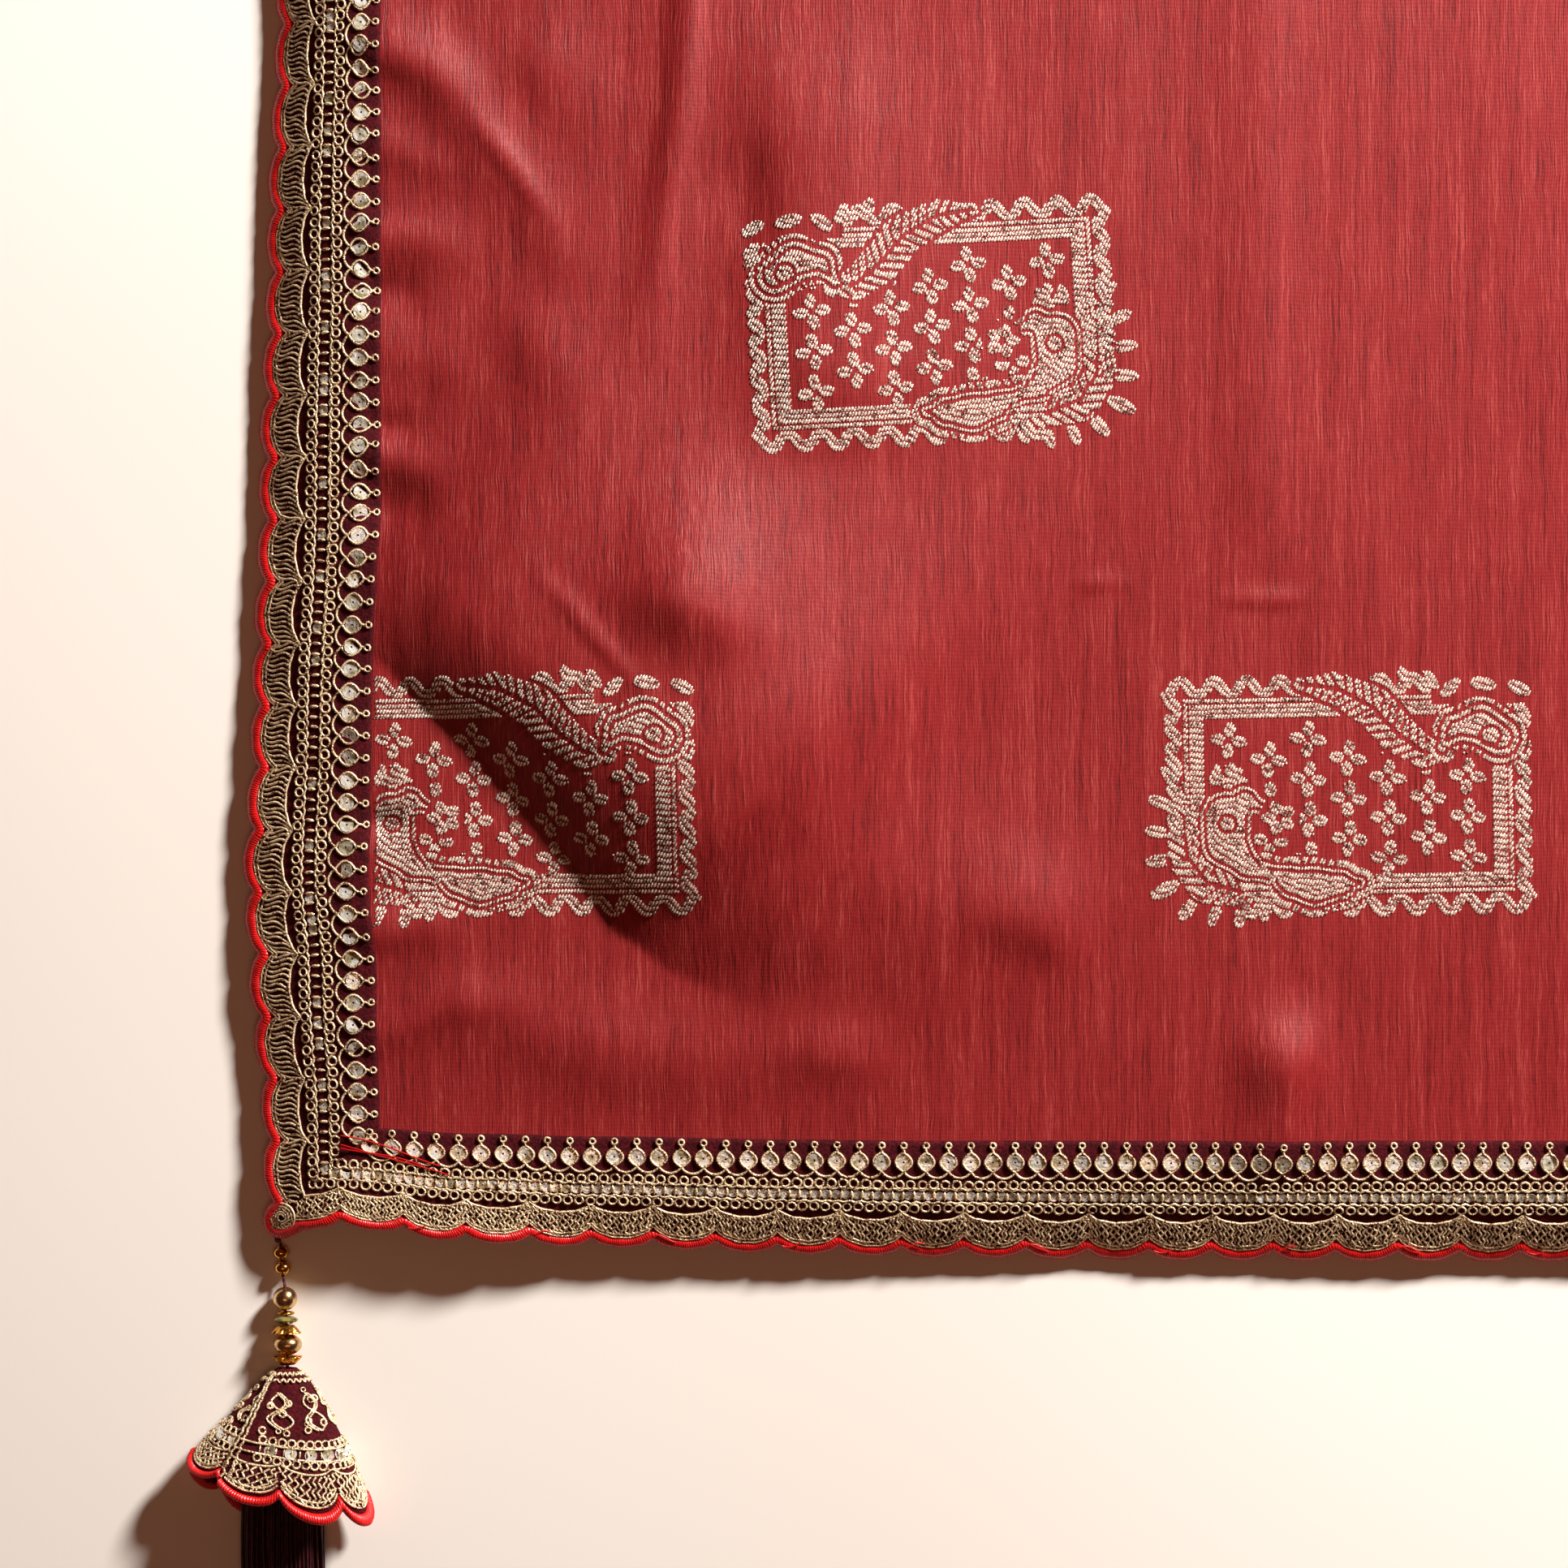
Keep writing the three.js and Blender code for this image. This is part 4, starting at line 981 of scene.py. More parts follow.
def sequin_shape(radius):
    """A cupped foil disc with a hole at its centre."""
    def build(bm):
        bmesh.ops.create_circle(bm, segments=12, radius=radius)
        outer = list(bm.edges)
        grown = bmesh.ops.extrude_edge_only(bm, edges=outer)["geom"]
        inner = [g for g in grown if isinstance(g, bmesh.types.BMVert)]
        bmesh.ops.scale(bm, vec=(0.15, 0.15, 1), verts=inner)
        bmesh.ops.translate(bm, vec=(0, 0, -radius * 0.04), verts=inner)
        bmesh.ops.recalc_face_normals(bm, faces=bm.faces)
        if sum(f.normal.z for f in bm.faces) < 0:
            bmesh.ops.reverse_faces(bm, faces=bm.faces)
    return template(build)


def stitched_rings(key, rng, lift, wire):
    """Rows of thread rings on both sides of the ladder."""
    parts = []
    for out, pitch in RING_ROWS:
        along = row_of(key, out, pitch)
        along = along + rng.uniform(-0.18, 0.18, along.shape)
        places = frames_on(LACES[key][0], along, out + rng.uniform(-0.15, 0.15, along.shape),
                           lift, turn=rng.uniform(0, 6, along.shape),
                           tilt=rng.uniform(-0.12, 0.12, (len(along), 3)),
                           size=rng.uniform(0.92, 1.08, along.shape))
        parts.append(laid("rings", ring_shape(RING_RADIUS * MM, wire * 0.95), places))
    return parts


def stitched_ladder(key, rng, lift):
    """Short satin bars side by side, as the rungs of a ladder."""
    along = row_of(key, LADDER, LADDER_PITCH, LADDER_MARGIN)
    places = frames_on(LACES[key][0], along + rng.uniform(-0.15, 0.15, along.shape),
                       LADDER + rng.uniform(-0.2, 0.2, along.shape), lift,
                       turn=rng.uniform(-0.14, 0.14, along.shape))
    return laid("bars", bar_shape(3.3 * MM, 1.1 * MM, 0.55 * MM), places)


def couched_cords(key, lift):
    """Cords that run the whole length of the lace beside its ladder."""
    lines = []
    for out in CORDS:
        along = row_of(key, out, 0.85, 0.4)
        sway = 0.3 * np.sin(along * 1.82)
        lines.append(LACES[key][0](along, out + sway, np.full(along.shape, lift)))
    return lines


def stitched_ovals(key, centres, rng, lift):
    """Ovals along the inner edge, a stem at the tip of each, and the wave that joins them."""
    surface = LACES[key][0]
    lines = []
    for centre in centres:
        q = np.linspace(0, 1, 8)
        bulge = OVAL_BULGE * np.sin(np.pi * q) ** 0.8
        jitter = rng.uniform(-0.15, 0.15)
        for way in (1, -1):
            lines.append(surface(centre + jitter + way * bulge, OVAL_TIP + OVAL_LENGTH * q,
                                 np.full(q.shape, lift)))
        lines.append(surface(centre + np.linspace(0.2, -0.2, 3), np.linspace(OVAL_TIP, 2.5, 3),
                             np.full(3, lift)))
        q = np.linspace(0, 1, 9)
        wave = OVAL_TIP + OVAL_LENGTH + 2.0 * np.sin(np.pi * q) ** 0.7
        lines.append(surface(centre + OVAL_PITCH * q, wave, np.full(q.shape, lift)))
    return lines


def stitched_fans(key, rng, lift):
    """A band of slanting threads that keeps its width round each scallop, between edging
    lines; on the pallu end they curl and crowd. Gives also where the threads begin."""
    surface, length, start = LACES[key]
    crowded = key == "end"
    first, count, points = (END_PLAIN, 17, 12) if crowded else (0.0, 13, 9)
    lines, begins = [], []

    def shown(along, out, margin):
        return (along > mitre(out, start) + margin) & (along > FAN_START)

    for k in range(-1, int(length / SCALLOP) + 1):
        middle = first + k * SCALLOP
        for i in range(count):
            s = -0.95 + 1.9 * i / (count - 1)
            q = np.linspace(0, 1, points)
            curl = np.sin(2 * math.pi * q + rng.uniform(-0.6, 0.6))
            along = middle + SCALLOP / 2 * s + 1.6 * (q - 0.5) * (1 - 1.2 * s) \
                + (0.45 if crowded else 0.7) * curl
            if crowded:
                along = along + 0.5 * np.sin(q * 19 + rng.uniform(0, 6))
            inner = FAN_INNER[0] - FAN_INNER[1] * inset_at(key, along)
            outer = FAN_OUTER[0] - FAN_OUTER[1] * inset_at(key, along)
            out = inner + (outer - inner) * q
            keep = shown(along, out, 0.4) & (along < length - 0.4)
            if keep.sum() > 2:
                rise = 0.16 * rng.uniform(-1, 1) + 0.15 * np.sin(math.pi * q[keep])
                lines.append(surface(along[keep], out[keep], lift + rise))
                if keep[0]:
                    begins.append((along[0], out[0] + 0.2))
        along = middle + SCALLOP / 2 * np.linspace(-0.99, 0.99, 17)
        rim = inset_at(key, along)
        for out in (33.3 - 4.2 * rim, 32.2 - 4.1 * rim, 25.0 - 3.0 * rim):
            keep = shown(along, out, 0.3) & (along < length - 0.5)
            if keep.sum() > 2:
                lines.append(surface(along[keep], out[keep] + 0.1 * np.sin(along[keep] * 4.1),
                                     np.full(keep.sum(), lift + 0.15)))
    return lines, np.array(begins).T


def corner_flower(lift):
    """A coiled flower that fills the rounded corner."""
    cx, cy = CORNER_FLOWER
    q = np.linspace(0, 1, 60)
    lines = []
    for turns, inner, outer in ((2.2, 0.8, 2.4), (1.0, 3.3, 3.4), (1.0, 4.2, 4.3)):
        r = inner + (outer - inner) * q
        lines.append(on_sheet(cx + r * np.cos(2 * math.pi * turns * q),
                              cy + r * np.sin(2 * math.pi * turns * q),
                              np.full(q.shape, lift + 0.3)))
    rays = 15
    for i in range(rays):
        bend = 2 * math.pi * i / rays + 0.3 * np.sin(np.linspace(0, math.pi, 4))
        r = np.linspace(2.4, 4.3, 4)
        lines.append(on_sheet(cx + r * np.cos(bend), cy + r * np.sin(bend),
                              np.full(4, lift + 0.25)))
    return lines


class SAREE_OT_lace_zari(bpy.types.Operator):
    """Embroider the lace with rings, bars, fans, ovals and cords of gold zari"""
    bl_idname = "saree.lace_zari"
    bl_label = "Lace embroidery"

    def execute(self, context):
        wire = context.scene.saree_lace.thread
        gold = zari("zari, gilt wire on a core thread, embroidered", *LACE_ZARI)
        for key, (surface, _, _) in LACES.items():
            rng = np.random.default_rng(17 if key == "side" else 23)
            lift = stitch_lift(key, 0.35)
            parts = stitched_rings(key, rng, lift, wire)
            parts.append(stitched_ladder(key, rng, lift))
            lines = couched_cords(key, lift)
            centres = row_of(key, OVALS, OVAL_PITCH, OVAL_MARGIN)
            lines += stitched_ovals(key, centres, rng, lift)
            places = frames_on(surface, centres, np.full(centres.shape, TIP_RINGS), lift)
            parts.append(laid("tips", ring_shape(0.9 * MM, wire * 0.95), places))
            fans, begins = stitched_fans(key, rng, lift)
            lines += fans
            places = frames_on(surface, *begins, lift + 0.1,
                               turn=rng.uniform(-0.5, 0.5, begins.shape[1]),
                               size=rng.uniform(0.8, 1.2, begins.shape[1]))
            parts.append(laid("inner stitches", bar_shape(1.5 * MM, 0.85 * MM, 0.45 * MM),
                              places))
            if key == "end":
                lines += corner_flower(lift)
            parts.append(threads("stitched", lines, wire))
            mesh = joined(f"{key}_lace_zari", parts)
            finish(f"{key}_lace_zari", mesh, f"{key}_lace", [gold])
        return {"FINISHED"}


class SAREE_OT_lace_sequins(bpy.types.Operator):
    """Sew silver sequins in the ovals and along the ladder of the lace"""
    bl_idname = "saree.lace_sequins"
    bl_label = "Sequins"

    def execute(self, context):
        foil = foil_sequin()
        for key, (surface, _, _) in LACES.items():
            rng = np.random.default_rng(41 if key == "side" else 43)
            lift = stitch_lift(key, 0.3)
            along = row_of(key, OVALS, OVAL_PITCH, OVAL_MARGIN)
            tilt = rng.normal(0, 0.15 if key == "side" else 0.07, (len(along), 3))
            places = frames_on(surface, along, np.full(along.shape, OVALS + 0.1), lift,
                               tilt=tilt)
            parts = [laid("oval sequins", sequin_shape(2.25 * MM), places)]
            along = row_of(key, LADDER, LADDER_PITCH, LADDER_MARGIN + LADDER_PITCH / 2)
            if key == "side":
                # only a few are left between the bars of the side lace
                along = along[rng.uniform(0, 1, len(along)) < 0.25]
            tilt = rng.normal(0, 0.08, (len(along), 3))
            places = frames_on(surface, along, np.full(along.shape, LADDER), lift, tilt=tilt)
            parts.append(laid("ladder sequins", sequin_shape(1.45 * MM), places))
            mesh = joined(f"{key}_lace_sequins", parts)
            piece = finish(f"{key}_lace_sequins", mesh, f"{key}_lace", [foil],
                           smooth_faces=False)
            wall(piece, 0.00012)
        return {"FINISHED"}


class SAREE_OT_lace_roll(bpy.types.Operator):
    """Bind the scalloped edge of the lace with a roll of red satin stitch"""
    bl_idname = "saree.lace_roll"
    bl_label = "Satin roll"

    def execute(self, context):
        radius = context.scene.saree_lace.roll / MM
        satin = satin_roll()
        for key, (surface, length, _) in LACES.items():
            steps = int(length / SCALLOP * 18)

            def centre(along):
                around = [inset_at(key, along + d) for d in (-1.2, -0.6, 0.0, 0.6, 1.2)]
                return ROLL_EDGE[0] - ROLL_EDGE[1] * sum(around) / 5

            def place(a, b):
                along = ROLL_START + a * (length - ROLL_START - 0.1)
                ahead = centre(along + 0.4) - centre(along - 0.4)
                slope = np.clip(ahead / 0.8, -1.6, 1.6)
                angle = b * 2 * math.pi
                ripple = 1 + 0.05 * np.sin(along * 11.0)
                across = radius * ripple * np.cos(angle) / np.sqrt(1 + slope ** 2)
                return surface(along - across * slope, centre(along) + across,
                               LACE_TOP + 0.05 + radius * 0.72 * ripple * np.sin(angle))

            mesh = grid_mesh(f"{key}_lace_roll", steps, 10, place, closed=True,
                             uv=lambda a, b: (a * length + b * 1.1, b * 9.0))
            finish(f"{key}_lace_roll", mesh, f"{key}_lace", [satin])
        # the roll rounds the corner in a lobe
        dense = np.linspace(0, len(CORNER_ROLL) - 1, 60)
        corners = np.arange(len(CORNER_ROLL))
        path = np.stack([np.interp(dense, corners, CORNER_ROLL[:, k]) for k in (0, 1)], -1)
        for _ in range(30):
            path[1:-1] = (path[:-2] + 2 * path[1:-1] + path[2:]) / 4
        ahead = np.gradient(path, axis=0)
        ahead /= np.linalg.norm(ahead, axis=1, keepdims=True)

        def lobe(a, b):
            at = a * 59
            x, y, tx, ty = (np.interp(at, np.arange(60), row)
                            for row in (*path.T, *ahead.T))
            angle = b * 2 * math.pi
            across = radius * 1.02 * np.cos(angle)
            return on_sheet(x + ty * across, y - tx * across,
                            LACE_TOP + 0.05 + radius * 0.72 * np.sin(angle))

        mesh = grid_mesh("corner_roll", 60, 12, lobe, closed=True,
                         uv=lambda a, b: (a * 22 + b * 1.1, b * 9.0))
        finish("corner_roll", mesh, "end_lace", [satin])
        # loose ends of red thread at the mitre, and across some cusps of the pallu end
        surface = LACES["end"][0]
        q = np.linspace(0, 1, 12)
        loose = [surface(22.5 + run * q, out + fall * q + 0.5 * np.sin(q * 5 + out),
                         np.full(12, LACE_TOP + 1.1))
                 for run, out, fall in ((30, 3.2, 7.6), (33, 6.4, 8.2), (24, 7.4, 4.2))]
        for k in range(1, 29, 2):
            cusp = END_PLAIN + (k + 0.5) * SCALLOP
            loose.append(surface(cusp + 1.5 + 5.5 * q, 32.8 + 1.2 * np.sin(q * 2.6 + k),
                                 np.full(12, LACE_TOP + 1.5)))
        mesh = threads("loose_red_threads", loose, 0.23 * MM)
        finish("loose_red_threads", mesh, "end_lace", [satin])
        return {"FINISHED"}


# ---- woven butis

def in_leaf(x, y, cx, cy, angle, length, width):
    """Inside a rounded leaf with its middle at a point."""
    c, s = math.cos(angle), math.sin(angle)
    a, b = (x - cx) * c + (y - cy) * s, -(x - cx) * s + (y - cy) * c
    t = a / (length / 2)
    return (np.abs(t) < 1) & (np.abs(b) < width / 2 * np.sqrt(np.clip(1 - t * t, 0, 1)))


def vine(x, y, spine):
    """Depth outside a curling shape with a width at each point of its spine, the way
    along the spine, and the side of it."""
    best = np.full(x.shape, np.inf)
    along, side = np.zeros((2,) + x.shape)
    gone = 0.0
    for (px, py, pr), (qx, qy, qr) in zip(spine, spine[1:]):
        dx, dy = qx - px, qy - py
        length = math.hypot(dx, dy)
        t = np.clip(((x - px) * dx + (y - py) * dy) / length ** 2, 0, 1)
        ex, ey = x - px - dx * t, y - py - dy * t
        away = np.hypot(ex, ey)
        d = away - (pr + (qr - pr) * smooth(t))
        near = d < best
        best = np.where(near, d, best)
        along = np.where(near, gone + t * length, along)
        side = np.where(near, np.sign(dx * ey - dy * ex) * away, side)
        gone += length
    return best, along, side


def woven_line(depth, inner, outer):
    """Between two depths outside a shape."""
    return (depth > inner) & (depth < outer)


def buti_frame(x, y):
    """A band with a hairline in it; tents of two leaves stand on its long sides, and round
    lobes on its short sides."""
    deep = np.maximum(np.abs(x) - BUTI_HALF_X, np.abs(y) - BUTI_HALF_Y)
    woven = (deep < 0) & (deep > -BUTI_BAND) & ~woven_line(deep, -1.75, -1.35)
    for k in range(-5, 6):
        for sign in (1, -1):
            for way in (1, -1):
                woven |= in_leaf(x, y, k * 10.2 + way * 2.2, sign * (BUTI_HALF_Y + 3.7),
                                 sign * (math.pi / 2 + way * 0.6), 8.2, 3.5)
                woven |= in_leaf(x, y, k * 10.2 + way * 4.4, sign * (BUTI_HALF_Y + 1.9),
                                 sign * (math.pi / 2 + way * 0.9), 4.6, 2.4)
    for k in range(-3, 4):
        for sign in (1, -1):
            for way in (1, -1):
                woven |= in_leaf(x, y, sign * (BUTI_HALF_X + 3.2), k * 9.0 + way * 2.1,
                                 way * sign * 0.75, 6.4, 4.0)
    return woven


def buti_flowers(x, y):
    """Flowers of four round petals, every second column half a step lower."""
    woven = np.zeros(x.shape, bool)
    for i in range(-3, 4):
        for j in range(-2, 3):
            fx, fy = i * 12.2, j * 12.4 + (6.2 if i % 2 else 0) - 1.0
            if abs(fy) < BUTI_HALF_Y - 10.5:
                for turn in range(4):
                    angle = math.pi / 2 * turn + 0.12
                    woven |= in_leaf(x, y, fx + 3.3 * math.cos(angle),
                                     fy + 3.3 * math.sin(angle), angle, 4.9, 3.7)
    return woven


def back_paisley(x, y, woven):
    """A paisley and a feathered spray break the frame at its left back corner."""
    body, way, _ = vine(x, y, [(-47, 17, 6.5), (-41, 21, 7.0), (-33, 20, 5.0), (-29, 14, 2.2)])
    spray, run, side = vine(x, y, [(-30, 12, 2.6), (-23, 13, 5.0), (-15, 19, 6.2),
                                   (-8, 27, 6.4), (3, 33, 5.2), (14, 34.5, 2.2)])
    woven &= (body > 2.2) & (spray > 1.0) & ~((x < -26) & (y > 27.5))
    woven |= (body < -3.4) | woven_line(body, -2.5, -0.9) | (
        woven_line(body, 0.1, 1.7) & (np.mod(way, 2.4) < 1.6))
    woven &= ~woven_line(np.hypot(x + 44, y - 17.5), 2.6, 3.5)
    woven |= (spray < 0) & (np.abs(side) > 0.55) & (
        np.mod(run - 0.7 * np.abs(side), 3.1) < 2.25) & (body > 0.4)
    for cx, cy, angle, size in BACK_LEAVES:
        woven |= in_leaf(x, y, cx, cy, angle, size, size * 0.52) & (spray > 0.3)
    return woven


def front_paisley(x, y, woven):
    """An eye-shaped leaf, a curling paisley and its plume break it at the right front."""
    leaf, run, _ = vine(x, y, [(-3, -27, 0.6), (3, -27.5, 3.6), (11, -28, 5.2),
                               (18, -26.5, 4.0), (26, -22, 0.8)])
    curl, _, _ = vine(x, y, [(25, -25, 1.5), (32, -21, 4.4), (38, -14, 7.2), (38, -6, 7.4),
                             (32, -1, 4.0), (27, -3, 2.0)])
    woven &= (leaf > 4.6) & (curl > 1.4) & ~((x > 33) & (y < -12))
    woven |= (leaf < -0.9) | woven_line(leaf, 0.0, 1.1) | (
        woven_line(leaf, 1.9, 4.2) & (np.mod(run, 2.5) < 1.7) & (curl > 1.0))
    woven |= (curl < -1.5) | woven_line(curl, -0.7, 0.5)
    woven &= ~woven_line(np.hypot(x - 37.5, y + 8), 2.2, 3.1)
    plume, run, side = vine(x, y, [(24, -29, 2.0), (34, -29, 5.0), (44, -26, 6.6),
                                   (50, -18, 6.2), (51, -8, 5.0), (49, 2, 3.4), (46, 9, 1.2)])
    woven |= (plume < 0) & (np.abs(side) > 0.5) & (curl > 0.9) & (leaf > 1.5) & (
        np.mod(run - 0.8 * np.abs(side), 3.3) < 2.6)
    for cx, cy, angle, size in FRONT_LEAVES:
        woven |= in_leaf(x, y, cx, cy, angle, size, size * 0.46) & (plume > 0.5)
    return woven


def buti_pattern(x, y):
    """Which points of a buti are woven in zari: its frame, flowers, paisleys and a rose."""
    woven = buti_frame(x, y) | buti_flowers(x, y)
    woven = front_paisley(x, y, back_paisley(x, y, woven))
    rose = np.hypot(x - 21.5, y + 6.5)
    turn = np.arctan2(y + 6.5, x - 21.5)
    return np.where(rose < 6.4, (rose < 4.6 + 0.9 * np.cos(5 * turn)) & (rose > 1.2), woven)


def buti_stitches(way):
    """Floats in one buti: middles and half lengths of stitches cut to the motif, lying on
    slanting rows; a way of -1 mirrors the motif but not the slant."""
    c, s = math.cos(BUTI_SLANT), math.sin(BUTI_SLANT)
    found = []
    rows = np.arange(-80, 80, BUTI_ROW)
    t = np.arange(-75, 75, 0.2)
    ox, oy = rows[:, None] * s, -rows[:, None] * c
    inside = buti_pattern(way * (ox + t * c), oy + t * s)
    for k, row in enumerate(inside):
        edges = np.flatnonzero(np.diff(np.concatenate([[0], row.astype(int), [0]])))
        for start, end in zip(edges[::2], edges[1::2]):
            low, high = t[start], t[end - 1]
            if high - low < 0.5:
                continue
            count = max(1, round((high - low + FLOAT_GAP) / (FLOAT_LONGEST + FLOAT_GAP)))
            length = (high - low + FLOAT_GAP) / count
            for n in range(count):
                middle = low + (n + 0.5) * length - FLOAT_GAP / 2
                found.append((rows[k] * s + middle * c, -rows[k] * c + middle * s,
                              (length - FLOAT_GAP) / 2))
    return np.array(found).T


def float_shape():
    """One float of zari: a strip raised along its middle, narrower and lower at both ends."""
    def build(bm):
        bmesh.ops.create_grid(bm, x_segments=2, y_segments=2, size=1.0)
        for v in bm.verts:
            v.co.z = 0.42 if abs(v.co.y) < 0.1 else -0.04
            if abs(v.co.x) > 0.9:
                v.co.y *= 0.6
                v.co.z -= 0.12
        bmesh.ops.scale(bm, vec=(1.0 * MM, 0.38 * MM, 1.0 * MM), verts=bm.verts)
    return template(build)


class SAREE_OT_butis(bpy.types.Operator):
    """Weave the butis into the silk as raised floats of zari"""
    bl_idname = "saree.butis"
    bl_label = "Butis"

    def execute(self, context):
        settings = context.scene.saree_cloth
        gold = zari("zari floats, cream gold, brocaded", *BUTI_ZARI)
        stitch = float_shape()
        motifs = [buti_stitches(1), buti_stitches(-1)]
        rng = np.random.default_rng(5)
        column, row = settings.buti_columns / MM, settings.buti_rows / MM
        places = []
        # each second column stands half a row lower, mirrored, and a little less turned
        for i in range(-2, 4):
            for j in range(-2, 3):
                odd = i % 2
                cx = BUTI_AT[0] + i * column
                cy = BUTI_AT[1] + j * row - odd * row / 2
                if -250 < cx < 262 and -262 < cy < 292:
                    places.append((cx, cy, 0.02 if odd else 0.055, motifs[odd]))
        # two pieces of about the same size
        for k, group in enumerate([places[0::2], places[1::2]]):
            parts = []
            for cx, cy, turn, (bx, by, half) in group:
                u = cx + bx * math.cos(turn) - by * math.sin(turn)
                v = cy + bx * math.sin(turn) + by * math.cos(turn)
                inside = (u > BUTI_LEFT) & (u < FOLD_X + FOLD_RADIUS) & (
                    v > BUTI_FRONT) & (v < FOLD_Y + FOLD_RADIUS)
                u, v = u[inside], v[inside]
                centre, axes = frames_on(
                    on_sheet, u, v, CLOTH_TOP + 0.1,
                    turn=BUTI_SLANT + turn + rng.uniform(-0.07, 0.07, u.shape),
                    size=rng.uniform(0.94, 1.06, u.shape))
                axes[:, 0] *= half[inside, None]
                parts.append(laid("floats", stitch, (centre, axes)))
            mesh = joined(f"woven_butis_{k + 1}", parts)
            finish(f"woven_butis_{k + 1}", mesh, "pallu_cloth", [gold])
        return {"FINISHED"}


# ---- latkan

def bead_section(name, radius, length):
    """Half section of a turned piece, along the cord and out from it, and its fineness."""
    if name.startswith("bead_cap"):
        way = 1 if name.endswith("1") else -1
        return [(s * way, r) for s, r in CAP_SECTION], 56
    if name == "rondelle":
        return RONDELLE_SECTION, 14
    if name == "spacer_ring":
        return [(0.45 * math.cos(a), 2.25 + 0.45 * math.sin(a))
                for a in np.linspace(0, 2 * math.pi, 9)], 36
    angles = np.linspace(0.34, math.pi - 0.34, 18)
    section = [(-length / 2 * math.cos(a), max(1.3, radius * math.sin(a))) for a in angles]
    return section + [(section[-1][0], 1.15), (section[0][0], 1.15), section[0]], 40


def cut_petals(bm):
    """Draws the rim of a cap in between its petals."""
    for v in bm.verts:
        r = math.hypot(v.co.x, v.co.z)
        if r > PETALS_FROM:
            a = math.atan2(v.co.z, v.co.x)
            petal = 0.70 + 0.30 * abs(math.sin(a * 3.5 + 0.4)) ** 0.7
            k = 1 + (petal - 1) * (r - PETALS_FROM) / PETALS_DEEP
            v.co.x, v.co.z = v.co.x * k, v.co.z * k


class SAREE_OT_latkan_beads(bpy.types.Operator):
    """String the beads, caps, ring and rondelle of the latkan on its cord"""
    bl_idname = "saree.latkan_beads"
    bl_label = "Latkan beads"

    def execute(self, context):
        bright = bead_metal("gilt brass bead, tumbled", "c07c28", "f0b860", 0.2, 0.0009, 0.12)
        champagne = bead_metal("champagne gilt bead, satin polished", "b08858", "ecc890",
                               0.24, 0.0008, 0.14)
        cap_gold = bead_metal("gilt brass cap, pressed", "b87420", "f2b450", 0.26, 0.0006, 0.3)
        for name, (x, y, radius, length) in BEADS.items():
            cap = name.startswith("bead_cap")
            height = radius + (0.3 if cap else 0.25)
            section, steps = bead_section(name, radius, length)
            bm = bmesh.new()
            verts = [bm.verts.new((r, -s, 0)) for s, r in section[:-1]]
            edges = [bm.edges.new((a, b)) for a, b in zip(verts, verts[1:] + verts[:1])]
            bmesh.ops.spin(bm, geom=verts + edges, cent=(0, 0, 0), axis=(0, 1, 0),
                           angle=2 * math.pi, steps=steps, use_merge=True)
            if cap:
                cut_petals(bm)
            bmesh.ops.recalc_face_normals(bm, faces=bm.faces)
            bmesh.ops.transform(bm, matrix=Matrix.Scale(MM, 4) @ Matrix.Translation(
                (x, y, height)), verts=bm.verts)
            mesh = bpy.data.meshes.new(f"{name}_turned")
            bm.to_mesh(mesh)
            bm.free()
            glass = name == "rondelle"
            if glass:
                material = smoked_glass()
            elif name.startswith("large"):
                material = champagne
            else:
                material = cap_gold if cap or name == "spacer_ring" else bright
            finish(f"{name}_turned", mesh, name, [material],
                   smooth_faces=not glass)
        return {"FINISHED"}


class SAREE_OT_latkan_cord(bpy.types.Operator):
    """Tie the knot at the corner and run the cord down to the tassel"""
    bl_idname = "saree.latkan_cord"
    bl_label = "Latkan cord"

    def execute(self, context):
        yarn = tassel_yarn("red brown cotton cord, twisted", "3c1012", "7a2a24")
        route = [(KNOT[0], KNOT[1], KNOT[2] - 0.6)]
        for x, y, radius, length in BEADS.values():
            z = radius + CORD_RISE
            route += [(x, y + length / 2, z), (x, y - length / 2, z)]
        route = np.array(route + [CORD_END])
        plies = []
        for phase in (0, math.pi):
            dense = np.linspace(0, len(route) - 1, 150)
            path = np.stack([np.interp(dense, np.arange(len(route)), route[:, k])
                             for k in range(3)], -1)
            angle = dense * 7 + phase
            path[:, 0] += PLY_AWAY * np.cos(angle)
            path[:, 2] += PLY_AWAY * np.sin(angle)
            plies.append(path * MM)
        cord = threads("cord", plies, PLY_RADIUS * MM, sides=1)
        turns = np.linspace(0, 2 * math.pi, 60)
        knot = np.stack([KNOT[0] + 0.85 * (np.sin(turns) + 0.9 * np.sin(2 * turns)),
                         KNOT[1] + 0.55 + 0.8 * (np.cos(turns) - 0.9 * np.cos(2 * turns)),
                         KNOT[2] + 0.8 * np.sin(3 * turns)], -1) * MM
        tied = threads("knot", [knot[:-1]], 0.72 * MM, sides=2, cyclic=True)
        finish("tassel_cord_twisted", joined("tassel_cord_twisted", [cord, tied]),
               "tassel_cord", [yarn])
        return {"FINISHED"}


def skirt_edge(turn):
    """The share of the skirt's length where its scalloped edge is."""
    return 1.0 - 0.115 * scallop_depth(turn, SKIRT_PITCH)


def skirt_lace(turn, share, above):
    """Points of the skirt, turns counted from the start of its lace, which it laps over."""
    lap = 1.2 * np.clip((turn - 0.98) / 0.02, 0, 1)
    return on_skirt(share, turn + 0.31, above + lap)


def skirt_line(turn, share):
    """A stitched line on the skirt."""
    return skirt_lace(turn, share, np.full(np.shape(turn + share), SKIRT_LIFT))


